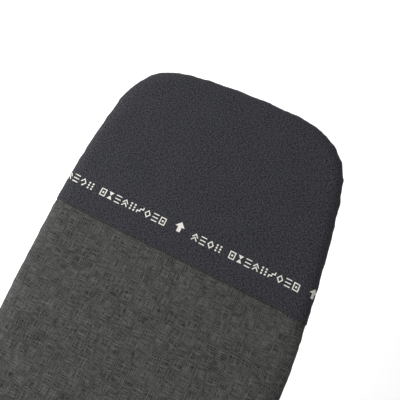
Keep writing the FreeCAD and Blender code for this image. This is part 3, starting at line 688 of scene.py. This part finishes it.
SETTLED = finer(settle(), 4)
GATHERS_KEPT = 0.7  # how much of the elastic's own gathering comes on top of the simulated folds
PUCKER_RISE = 0.5 * MM  # how far a pucker lifts the top's edge


def settled(past, place):
    """The simulated move of points that far past the ring, at that place along the edge."""
    count = SETTLED.shape[1]
    row = np.interp(past, SIM_ROWS, np.arange(len(SIM_ROWS)))
    column = (place / AROUND * count) % count
    i, j = np.minimum(row.astype(int), len(SIM_ROWS) - 2), column.astype(int)
    f, g = (row - i)[:, None], (column - j)[:, None]
    j, after = j % count, (j + 1) % count
    near = SETTLED[i, j] * (1 - g) + SETTLED[i, after] * g
    far = SETTLED[i + 1, j] * (1 - g) + SETTLED[i + 1, after] * g
    return near * (1 - f) + far * f


def drape(flat, lift=0.0):
    """Where points of the flat cloth come to lie, lifted that far off the cloth."""
    flat = np.asarray(flat, float)
    j = nearest_column(flat)
    normal = NORMAL[j]
    tangent = np.stack([-normal[:, 1], normal[:, 0]], 1)
    offset = flat - RING[j]
    past = (offset * normal).sum(1)
    beside = (offset * tangent).sum(1)
    place = ALONG[j] + beside * (RING_RADIUS[j] + SHOULDER_INSET) / (RING_RADIUS[j] + np.maximum(past, 0))
    run, depth = np.clip(past, 0, HANG), np.maximum(-past, 0)
    inset, drop, out, up, _, pull = (np.interp(run, RUN, column) for column in PROFILE.T)
    lift = lift * (1 - 0.7 * smoothstep(HEM, HEM + HEM_START, run))
    pucker = np.interp(place, ALONG, PUCKERS, period=AROUND)
    push = np.where(past > 0, pull * PUCKER_HEIGHT * pucker, 0) + lift
    gathered = drawn(run, place)
    if SETTLED is not None:
        simulated = (past > SIM_ROWS[0]) & (past < SIM_ROWS[-1])
        kept = GATHERS_KEPT * (1 - smoothstep(HEM - 8 * MM, HEM, past))[:, None]
        gathered = np.where(simulated[:, None], settled(past, place) + kept * gathered, gathered)
    rise = -CROWN * np.exp(-depth / CROWN_REACH) + swell(*flat.T) * np.exp(-run / SWELL_FADE)
    rise += PUCKER_RISE * pucker * np.exp(-(depth + run) / PUCKER_FADE)
    squeeze = (RING_RADIUS[j] + SHOULDER_INSET - inset) / (RING_RADIUS[j] + np.maximum(past, 0))
    outwards = np.where(past > 0, SHOULDER_INSET - inset + push * out, past) + gathered[:, 0]
    sideways = beside * squeeze + gathered[:, 1]
    plan = RING[j] + outwards[:, None] * normal + sideways[:, None] * tangent
    height = TOP_Z + rise + np.where(past > 0, push * up - drop, lift) + gathered[:, 2]
    return np.column_stack([plan, height])


# ---------------- cover: cut, seam and hem
CLOTH_LIFT = 0.8 * MM  # the heat panel lies this far above the grey cloth
UNDERLAP = 9 * MM  # how far the grey cloth runs on under the panel
SEAM_SLOPE = 0.0473  # the seam runs a little askew: metres along x per metre along y
ACROSS = np.array([1.0, -SEAM_SLOPE]) / math.hypot(1.0, SEAM_SLOPE)
BESIDE = np.array([ACROSS[1], -ACROSS[0]])  # along the seam, towards -Y
TOP_SHARES = (0.0, 0.2, 0.4, 0.55, 0.68, 0.78, 0.86, 0.92, 0.96)


def from_seam(flat):
    """Distance of flat points from the seam, positive on the heat panel's side."""
    return (flat[:, 0] - SEAM_X) * ACROSS[0] + flat[:, 1] * ACROSS[1]


def seam_point(across, beside):
    """Flat points that far from the seam, and that far along it from the middle towards -Y."""
    return np.array([SEAM_X, 0.0]) + np.multiply.outer(across, ACROSS) + np.multiply.outer(beside, BESIDE)


def top_rows(ring, shares):
    """Rows of points on the flat top, at those shares of the way from its middle line out to the ring."""
    spine = np.stack([np.clip(ring[:, 0], NOSE_X + 0.10, END_X - 0.17), np.zeros(len(ring))], 1)
    return [spine + (ring - spine) * share for share in shares]


def flat_cloth():
    """The whole cover as one flat sheet: a grid from the middle line out to the ring and on to the hem."""
    inner = top_rows(RING, TOP_SHARES)
    outer = [RING + run * NORMAL for run in RUN]
    rows = np.array(inner + outer)
    return rows.reshape(-1, 2), closed_grid(len(rows), COLUMNS)


def cut(bm, across, drop=None):
    """Cuts flat cloth parallel to the seam. It can drop the "near" side, towards the nose, or the "far"."""
    bmesh.ops.bisect_plane(bm, geom=bm.verts[:] + bm.edges[:] + bm.faces[:], dist=1e-7,
                           plane_co=(*seam_point(across, 0.0), 0.0), plane_no=(*ACROSS, 0.0),
                           clear_inner=drop == "near", clear_outer=drop == "far")


def vertex_across(vertex):
    """How far a vertex of flat cloth is from the seam."""
    return float(from_seam(np.array([vertex.co[:2]]))[0])


def flat_mesh(bm):
    """Takes the points and faces out of flat cloth, and frees it."""
    bm.verts.index_update()
    points = np.array([v.co[:2] for v in bm.verts])
    faces = [[v.index for v in f.verts] for f in bm.faces]
    bm.free()
    return points, faces


def cut_sheet(name, material, across, drop, creases=(), lip=()):
    """One cloth of the cover: cut, creased parallel to the seam, its edge folded under, and draped.

    creases are (distance from the seam, lift), and lip is the folded edge as steps of (move, lift). The
    result is the object, its flat width and length, and its flat area.
    """
    flat, quads = flat_cloth()
    bm = bmesh.new()
    made = [bm.verts.new((x, y, 0.0)) for x, y in flat]
    for quad in quads:
        bm.faces.new([made[k] for k in quad])
    bmesh.ops.remove_doubles(bm, verts=bm.verts, dist=1e-6)
    cut(bm, across, drop)
    for distance, _ in creases[1:]:
        cut(bm, distance)
    lifted = bm.verts.layers.float.new("lift")
    for vertex in bm.verts:
        vertex[lifted] = np.interp(vertex_across(vertex), *zip(*creases)) if creases else 0.0
    edge = [e for e in bm.edges if all(abs(vertex_across(v) - across) < 1e-6 for v in e.verts)] if lip else []
    for step, level in lip:
        extruded = bmesh.ops.extrude_edge_only(bm, edges=edge)["geom"]
        edge = [g for g in extruded if isinstance(g, bmesh.types.BMEdge)]
        for vertex in {v for e in edge for v in e.verts}:
            vertex.co.x += step * ACROSS[0]
            vertex.co.y += step * ACROSS[1]
            vertex[lifted] = level
    area = sum(f.calc_area() for f in bm.faces)
    lift = np.array([v[lifted] for v in bm.verts])
    cloth, faces = flat_mesh(bm)
    made = new_object(name, drape(cloth, lift), faces, material, uv=cloth)
    return made, sorted(np.ptp(cloth, axis=0)), area


HEAT_CREASES = ((0.0, 1.15 * MM), (1.2 * MM, 1.25 * MM), (2.6 * MM, 0.75 * MM), (4.2 * MM, 1.1 * MM),
                (7 * MM, CLOTH_LIFT))
HEAT_LIP = ((-0.5 * MM, 0.7 * MM), (0.2 * MM, 0.12 * MM), (6 * MM, 0.12 * MM))
cover, cover_flat, cover_area = cut_sheet("cover_body", finish["cover_fabric"], UNDERLAP, "far")
panel, panel_flat, panel_area = cut_sheet("heat_panel", finish["heat_fabric"], 0.0, "near", HEAT_CREASES,
                                          HEAT_LIP)


def tubes(name, centres, ups, radii, material, sides=8, closed=False):
    """Round strands in one object: centres and ups are (strand, station, 3), radii one or per station."""
    strands, stations = centres.shape[:2]
    ahead = np.roll(centres, -1, 1) - np.roll(centres, 1, 1) if closed else np.gradient(centres, axis=1)
    side = np.cross(ahead, ups)
    top = np.cross(side, ahead)
    side /= np.linalg.norm(side, axis=2)[..., None]
    top /= np.linalg.norm(top, axis=2)[..., None]
    turn = np.arange(sides) * 2 * math.pi / sides
    ring = np.cos(turn)[:, None] * side[..., None, :] + np.sin(turn)[:, None] * top[..., None, :]
    points = centres[..., None, :] + ring * np.asarray(radii)[..., None, None]
    one = closed_grid(stations + closed, sides) % (stations * sides)
    every = one + (np.arange(strands) * stations * sides)[:, None, None]
    return new_object(name, points.reshape(-1, 3), every.reshape(-1, 4), material)


THREAD_RADIUS = 0.28 * MM


def stitch_line(name, line, pitch, lift, material):
    """Stitches along a line on the flat cloth, each one sinking into it at both ends."""
    radius = THREAD_RADIUS
    run = np.concatenate([[0.0], np.cumsum(np.linalg.norm(np.diff(line, axis=0), axis=1))])
    count = int(run[-1] / pitch)
    length = run[-1] / count
    stations = np.linspace(0.08, 0.92, 5)
    place = (np.arange(count)[:, None] + stations) * length
    flat = np.stack([np.interp(place, run, line[:, 0]), np.interp(place, run, line[:, 1])], 2).reshape(-1, 2)
    arch = np.tile(radius * np.array([-0.9, 0.2, 0.5, 0.2, -0.9]), count)
    centre = drape(flat, lift + arch)
    up = drape(flat, lift + arch + 1 * MM) - centre
    shape = (count, 5, 3)
    thick = radius * np.array([0.7, 1.0, 1.05, 1.0, 0.7])
    return tubes(name, centre.reshape(shape), up.reshape(shape), thick, material, sides=6)


def past_ring(flat):
    """How far flat points are past the ring."""
    j = nearest_column(flat)
    return ((flat - RING[j]) * NORMAL[j]).sum(1)


def beside_seam(across, spacing=4 * MM):
    """A line on the flat cloth parallel to the seam, from hem to hem."""
    half = WIDTH / 2 - SHOULDER_INSET + HANG
    beside = np.arange(-half, half, spacing)
    line = seam_point(np.full(len(beside), across), beside)
    return line[past_ring(line) < HEM + 2 * MM]


seam_rows = [stitch_line(f"seam_stitches_{k + 1}", beside_seam(across), 3.2 * MM, 0.85 * MM, DARK_THREAD)
             for k, across in enumerate((2.6 * MM, 8.2 * MM))]
hem_path = np.concatenate([RING, RING[:1]]) + (HEM - 3 * MM) * np.concatenate([NORMAL, NORMAL[:1]])
hem_stitches = stitch_line("hem_stitches", hem_path, 3.4 * MM, 0.25 * MM, GREY_THREAD)
place_on(cover, "table")
place_on(panel, "table")
for row in seam_rows:
    place_on(row, "table")
place_on(hem_stitches, "table")
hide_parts("cover_main")
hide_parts("cover_heat_zone")

# ---------------- printed marks on the heat panel
# Plain geometric marks in two groups, with an arrow towards the square end before each pair of groups. They
# say nothing. Each is drawn in a box 11 wide and 13.5 high, in millimetres, with its foot towards the seam.
MARK_FOOT = 38 * MM  # from the seam
MARK_PITCH = 14 * MM
GROUP_STARTS = [(6.6 + 238 * k) * MM for k in (-1, 0, 1)]
SECOND_START = 66.6 * MM  # from the start of the first group
ARROW_BEFORE = 24.2 * MM
ARROW_FOOT = MARK_FOOT + 2.3 * MM
INK_LIFT = CLOTH_LIFT + 0.16 * MM
STROKE = 1.7
MITRE_LIMIT = 0.4


def stroke(points, width=STROKE, closed=False):
    """Quads along a line of points, mitred where it bends."""
    p = np.array(points, float)
    ahead = np.roll(p, -1, 0) - p
    ahead /= np.linalg.norm(ahead, axis=1)[:, None]
    behind = np.roll(ahead, 1, 0)
    if not closed:
        behind[0] = ahead[0]
        ahead[-1] = behind[-1]
    left = np.stack([-(ahead + behind)[:, 1], (ahead + behind)[:, 0]], 1)
    left /= np.linalg.norm(left, axis=1)[:, None]
    reach = width / 2 / np.maximum(MITRE_LIMIT, (left * np.stack([-ahead[:, 1], ahead[:, 0]], 1)).sum(1))
    a, b = p + left * reach[:, None], p - left * reach[:, None]
    count = len(p) if closed else len(p) - 1
    return [[a[i], b[i], b[(i + 1) % len(p)], a[(i + 1) % len(p)]] for i in range(count)]


def disc(x, y, radius):
    """A dot, as one polygon."""
    turn = np.arange(16) * math.pi / 8
    return [np.stack([x + radius * np.cos(turn), y + radius * np.sin(turn)], 1)]


BARS = [quad for y in (1.0, 6.75, 12.5) for quad in stroke([(0.5, y), (10.5, y)])]
DIAMOND = stroke([(5.5, 1.2), (10, 6.75), (5.5, 12.3), (1, 6.75)], closed=True)
CHEVRONS = [quad for y in (1.0, 6.5) for quad in stroke([(0.8, y), (5.5, y + 5.5), (10.2, y)])]
FRAMED_DOT = stroke([(1.2, 1.2), (9.8, 1.2), (9.8, 12.3), (1.2, 12.3)], closed=True) + disc(5.5, 6.75, 1.7)
DOTS = [dot for x in (2.2, 8.8) for y in (2.2, 6.75, 11.3) for dot in disc(x, y, 1.6)]
HOURGLASS = [[(1, 0.5), (10, 0.5), (5.5, 6.75)], [(1, 13), (5.5, 6.75), (10, 13)]]
STEPS = stroke([(0.8, 1.0), (0.8, 5.0), (5.5, 5.0), (5.5, 9.0), (10.2, 9.0), (10.2, 13.2)])
ARROW = [[(-8.2, 8.6), (8.2, 8.6), (0, 17.2)], [(-3.2, 0), (3.2, 0), (3.2, 8.6), (-3.2, 8.6)]]
FIRST_GROUP = (CHEVRONS, BARS, DIAMOND, DOTS)
SECOND_GROUP = (FRAMED_DOT, HOURGLASS, BARS, CHEVRONS, DOTS, STEPS, DIAMOND, BARS, FRAMED_DOT)


def place_mark(shapes, across, beside):
    """A mark's polygons as flat points: up the mark is away from the seam, and along it is towards -Y."""
    return [seam_point(across + np.array(shape)[:, 1] * MM, beside + np.array(shape)[:, 0] * MM)
            for shape in shapes]


def slice_finely(bm, spacing=2.5 * MM):
    """Cuts flat faces along x and y, so that they can bend with the cloth."""
    places = np.array([v.co[:2] for v in bm.verts])
    for axis, facing in enumerate(((1, 0, 0), (0, 1, 0))):
        for place in np.arange(places[:, axis].min() + 2 * MM, places[:, axis].max(), spacing):
            bmesh.ops.bisect_plane(bm, geom=bm.verts[:] + bm.edges[:] + bm.faces[:], dist=1e-7,
                                   plane_co=place * Vector(facing), plane_no=facing)


def print_marks():
    """Every mark as one thin piece, cut finely so that it bends over the shoulder with the cloth."""
    shapes = []
    for start in GROUP_STARTS:
        shapes += place_mark(ARROW, ARROW_FOOT, start - ARROW_BEFORE)
        for group, begin in ((FIRST_GROUP, start), (SECOND_GROUP, start + SECOND_START)):
            for k, mark in enumerate(group):
                shapes += place_mark(mark, MARK_FOOT, begin + k * MARK_PITCH)
    bm = bmesh.new()
    for shape in shapes:
        if past_ring(shape).max() < HEM:
            bm.faces.new([bm.verts.new((x, y, 0.0)) for x, y in shape])
    bm.normal_update()
    bmesh.ops.reverse_faces(bm, faces=[f for f in bm.faces if f.normal.z < 0])
    slice_finely(bm)
    flat, faces = flat_mesh(bm)
    return new_object("print_marks", drape(flat, INK_LIFT), faces, INK)


marks = print_marks()
place_on(marks, "table")

# ---------------- felt, foam and elastic under the cover
CLOTH_THICKNESS = 1.0 * MM
ELASTIC_RADIUS = 1.7 * MM
PAD_EVERY = 3  # of the cloth's columns
PAD_SHARES = (0.0, 0.15, 0.3, 0.45, 0.6, 0.72, 0.84, 0.93)
PAD_INSETS = (24, 21, 18, 15, 12, 10, 8.6)  # millimetres in from the outline


def pad(name, material, share_low, share_high, seed):
    """A soft layer between the mesh and the cover, full in the middle and pressed thin round the rim."""
    ring, normal = RING[::PAD_EVERY], NORMAL[::PAD_EVERY]
    wavy = wander(ALONG[::PAD_EVERY], AROUND, 157, seed, 0.0, 1.5 * MM)[:, None]
    runs = np.interp([SHOULDER_INSET - inset * MM for inset in PAD_INSETS],
                     SHOULDER_INSET - PROFILE[:SHOULDER_ROWS, 0], RUN[:SHOULDER_ROWS])
    upper, lower = [], []
    for flat in top_rows(ring, PAD_SHARES) + [ring + run * normal for run in runs]:
        place = drape(flat, -CLOTH_THICKNESS)
        full = np.maximum(place[:, 2] - PAD_FLOOR, 1.2 * MM)
        lumps = 0.18 * MM * np.sin(place[:, 0] * 61 + seed + 2 * np.sin(place[:, 1] * 47))
        low = PAD_FLOOR + share_low * full + lumps * (share_low > 0)
        high = PAD_FLOOR + share_high * full + lumps * (share_high < 1)
        upper.append(np.column_stack([place[:, :2], high]))
        lower.insert(0, np.column_stack([place[:, :2], low]))
    edge = []
    for turn in np.radians((45, 0, -45)):
        reach = (1 * MM * math.cos(turn) + wavy) * normal
        level = (low + high) / 2 + math.sin(turn) * (high - low) / 2
        edge.append(np.column_stack([place[:, :2] + reach, level]))
    rows = upper + edge + lower
    made = new_object(name, np.concatenate(rows), closed_grid(len(rows), len(ring)), material)
    bm = bmesh.new()
    bm.from_mesh(made.data)
    bmesh.ops.remove_doubles(bm, verts=bm.verts, dist=1e-6)
    bmesh.ops.recalc_face_normals(bm, faces=bm.faces)
    bm.to_mesh(made.data)
    bm.free()
    place_on(made, "table")
    return made


felt = pad("felt_layer", finish["felt"], 0.0, 0.48, 3)
foam = pad("foam_layer", finish["foam"], 0.52, 1.0, 4)
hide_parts("felt_underlay")
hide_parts("foam_pad")


def elastic_cord():
    """The elastic inside the hem casing, drawn up and down with its gathers."""
    height = TOP_Z - CROWN - ROLL_DROP + GATHER_DEPTH * VALLEYS
    middle = np.column_stack([EDGE - ROLL_INSET * NORMAL, height])[::2]
    out = np.column_stack([NORMAL, np.zeros(COLUMNS)])[::2]
    rows = [middle + ELASTIC_RADIUS * (math.cos(t) * out + math.sin(t) * np.array([0, 0, 1.0]))
            for t in -np.arange(8) * math.pi / 4]
    made = new_object("hem_elastic_cord", np.concatenate(rows + rows[:1]), closed_grid(9, len(middle)),
                      finish["elastic"])
    place_on(made, "table")
    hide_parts("hem_elastic")


elastic_cord()

# ---------------- small parts: welds, ridges and grip ribs
LEG_TUBE, FOOT_BAR, FOOT_CAP = 12.5 * MM, 11 * MM, 17 * MM  # radii
LEG_ANGLE = math.radians(54)
TREAD_PLACES = (184, 190, 196, 202, 208)  # millimetres along the foot bar, from its middle
TREAD_RADIUS = 0.9 * MM
FLOOR_GAP = 0.15 * MM
LEG_BEAD, RAIL_BEAD = 1.5 * MM, 1.7 * MM  # radii of the weld beads
BEAD_RIPPLE = 0.16
BEAD_STATIONS = 22
BEAD_END = 3 * MM  # how far a rail's bead stops short of its sides
PADDLE_HALF = 4.5 * MM
LEVER_TILT = -math.radians(10)
TURN = np.linspace(0, 2 * math.pi, 72, endpoint=False)


def middle_of(node):
    low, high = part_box(node)
    return np.array((low + high) / 2)


def ripple(count):
    """The even ripple along a weld bead, as a factor on its radius."""
    return 1 + BEAD_RIPPLE * np.cos(np.arange(count) * 2 * math.pi / 3)


def rings(name, loops, radius, material):
    """Closed strands through loops of points, held just above the floor."""
    loops = np.array(loops)
    made = tubes(name, loops, loops - loops.mean(1, keepdims=True), radius, material, closed=True)
    for vertex in made.data.vertices:
        vertex.co.z = max(vertex.co.z, FLOOR_GAP)
    return made


def crosswise(x, y, z):
    """A line of points at those y, with one x and one z."""
    return np.column_stack([np.full_like(y, x), y, np.full_like(y, z)])


def frame_details(which, lean):
    """Weld beads and foot treads of one leg frame. lean is +1 where its legs run down towards +X."""
    leg_y = middle_of(f"{which}_leg_left")[1]
    foot, bar = middle_of(f"{which}_foot_bar"), middle_of(f"{which}_brace")
    brace_low, brace_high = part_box(f"{which}_brace")
    brace_radius = (brace_high.z - brace_low.z) / 2
    down = np.array([lean * math.cos(LEG_ANGLE), 0, -math.sin(LEG_ANGLE)])
    aside = np.array([math.sin(LEG_ANGLE), 0, lean * math.cos(LEG_ANGLE)])
    beads = []
    for y in (-leg_y, leg_y):
        around = LEG_TUBE * np.sin(TURN)
        back = np.sqrt(np.maximum(FOOT_BAR ** 2 - around ** 2, 0))
        loop = (foot[0], y, foot[2]) + np.outer(around, aside) - np.outer(back, down)
        loop[:, 1] += LEG_TUBE * np.cos(TURN)
        beads.append(loop)
        turned = np.outer(np.cos(TURN), down) + np.outer(np.sin(TURN), aside)
        loop = (bar[0], y, bar[2]) + brace_radius * turned
        loop[:, 1] -= math.copysign(1, y) * np.sqrt(LEG_TUBE ** 2 - (brace_radius * np.sin(TURN)) ** 2)
        beads.append(loop)
    treads = [np.column_stack([FOOT_CAP * np.cos(TURN), np.full(len(TURN), side * y * MM),
                               FOOT_CAP * np.sin(TURN)]) + (foot[0], 0, foot[2])
              for y in TREAD_PLACES for side in (-1, 1)]
    place_on(rings(f"{which}_weld_beads", beads, LEG_BEAD * ripple(len(TURN)), finish["leg_paint"]),
             f"{which}_frame")
    place_on(rings(f"{which}_foot_treads", treads, TREAD_RADIUS, finish["cap_plastic"]),
             f"{which}_frame")


frame_details("outer", 1)
frame_details("inner", -1)


def rail_welds():
    """Short beads where the two rails are welded up to the ribs."""
    centres = []
    for rib in ("rib_front_rail", "rib_middle_rail", "rib_rear_rail"):
        rib_low, rib_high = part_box(rib)
        for rail in ("rail_left", "rail_right"):
            rail_low, rail_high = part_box(rail)
            y = np.linspace(rail_low.y + BEAD_END, rail_high.y - BEAD_END, BEAD_STATIONS)
            for x in (rib_low.x, rib_high.x):
                if rail_low.x + 2 * MM < x < rail_high.x - 2 * MM:
                    centres.append(crosswise(x, y, rib_low.z))
    centres = np.array(centres)
    ups = np.zeros_like(centres) + (0.0, 0.0, 1.0)
    thick = RAIL_BEAD * ripple(BEAD_STATIONS)
    thick[[0, -1]] = 0.2 * MM
    place_on(tubes("rail_weld_beads", centres, ups, thick, finish["table_paint"]), "table")


def grip_ribs():
    """Finger ribs across both faces of the lever's paddle, which hangs at the tilt of its clamp plate."""
    shaft = middle_of("lever_shaft")
    grip_low, grip_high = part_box("lever_grip")
    along = np.array([math.cos(LEVER_TILT), 0.0, -math.sin(LEVER_TILT)])
    upwards = np.array([math.sin(LEVER_TILT), 0.0, math.cos(LEVER_TILT)])
    thick = np.array([0.3, 0.9, 1.1, 1.1, 1.1, 1.1, 1.1, 0.9, 0.3]) * MM
    y = np.linspace(grip_low.y + 9 * MM, grip_high.y - 9 * MM, len(thick))
    centres, ups = [], []
    for face in (-1, 1):
        for x in np.arange(-74, -18, 8) * MM:
            centre = shaft + x * along + face * (PADDLE_HALF - 0.2 * MM) * upwards
            centres.append(crosswise(centre[0], y, centre[2]))
            ups.append(np.tile(face * upwards, (len(y), 1)))
    made = tubes("lever_grip_ribs", np.array(centres), np.array(ups), thick, finish["grip_plastic"])
    place_on(made, "release_lever")


rail_welds()
grip_ribs()

# ---------------- floor, light and camera
FLOOR_REACH = 20.0
FLOOR_DROP = -0.2 * MM  # just under the feet
bm = bmesh.new()
bmesh.ops.create_grid(bm, x_segments=24, y_segments=24, size=FLOOR_REACH)
floor = add_object("studio_floor", bpy.data.meshes.new("studio_floor"))
bm.to_mesh(floor.data)
bm.free()
floor.location.z = FLOOR_DROP
floor.data.materials.append(pale_floor())

world = bpy.data.worlds.new("studio")
world.use_nodes = True
sky = world.node_tree
towards = sky.nodes.new("ShaderNodeSeparateXYZ")
fade = sky.nodes.new("ShaderNodeMapRange")
sky.links.new(sky.nodes.new("ShaderNodeTexCoord").outputs["Generated"], towards.inputs[0])
sky.links.new(towards.outputs["Y"], fade.inputs["Value"])
fade.inputs["From Min"].default_value = -1.0
fade.inputs["To Min"].default_value = 0.34
fade.inputs["To Max"].default_value = 0.78
sky.nodes["Background"].inputs["Color"].default_value = (1.0, 1.0, 1.0, 1.0)
sky.links.new(fade.outputs["Result"], sky.nodes["Background"].inputs["Strength"])
bpy.context.scene.world = world
bpy.context.scene.view_settings.view_transform = "Standard"


def softbox(name, place, target, size, watts):
    """A rectangular studio lamp, which the camera doesn't see."""
    light = bpy.data.lights.new(name, "AREA")
    light.shape = "RECTANGLE"
    light.size, light.size_y = size
    light.energy = watts
    lamp = add_object(name, light)
    lamp.location = place
    lamp.rotation_euler = (Vector(target) - Vector(place)).to_track_quat("-Z", "Y").to_euler()
    lamp.visible_camera = False


softbox("key_light", (0.15, 1.5, 1.9), (0.2, 0.0, 0.9), (1.5, 0.9), 50)
softbox("overhead_light", (0.7, 0.1, 4.2), (0.6, -0.2, 0.0), (3.2, 3.2), 26)

CAMERA_AZIMUTH, CAMERA_DIP = math.radians(22.748), math.radians(77.5)
CAMERA_ROLL = 0.013
CAMERA_DISTANCE = 0.6008
AIM = Vector((0.4073, 0.0033, TOP_Z))
SENSOR, FOCAL_SHARE = 36, 0.9009  # the sensor's width, and the lens as a share of it
camera_data = bpy.data.cameras.new("camera")
camera_data.sensor_width = SENSOR
camera_data.lens = SENSOR * FOCAL_SHARE
camera_data.clip_start = 0.02
camera = add_object("camera", camera_data)
look = Vector((math.cos(CAMERA_AZIMUTH), math.sin(CAMERA_AZIMUTH), -math.tan(CAMERA_DIP))).normalized()
level = look.cross(Vector((0, 0, 1))).normalized()
right = math.cos(CAMERA_ROLL) * level + math.sin(CAMERA_ROLL) * level.cross(look)
axes = Matrix((right, right.cross(look), -look)).transposed().to_4x4()
camera.matrix_world = Matrix.Translation(AIM - CAMERA_DISTANCE * look) @ axes
bpy.context.scene.camera = camera
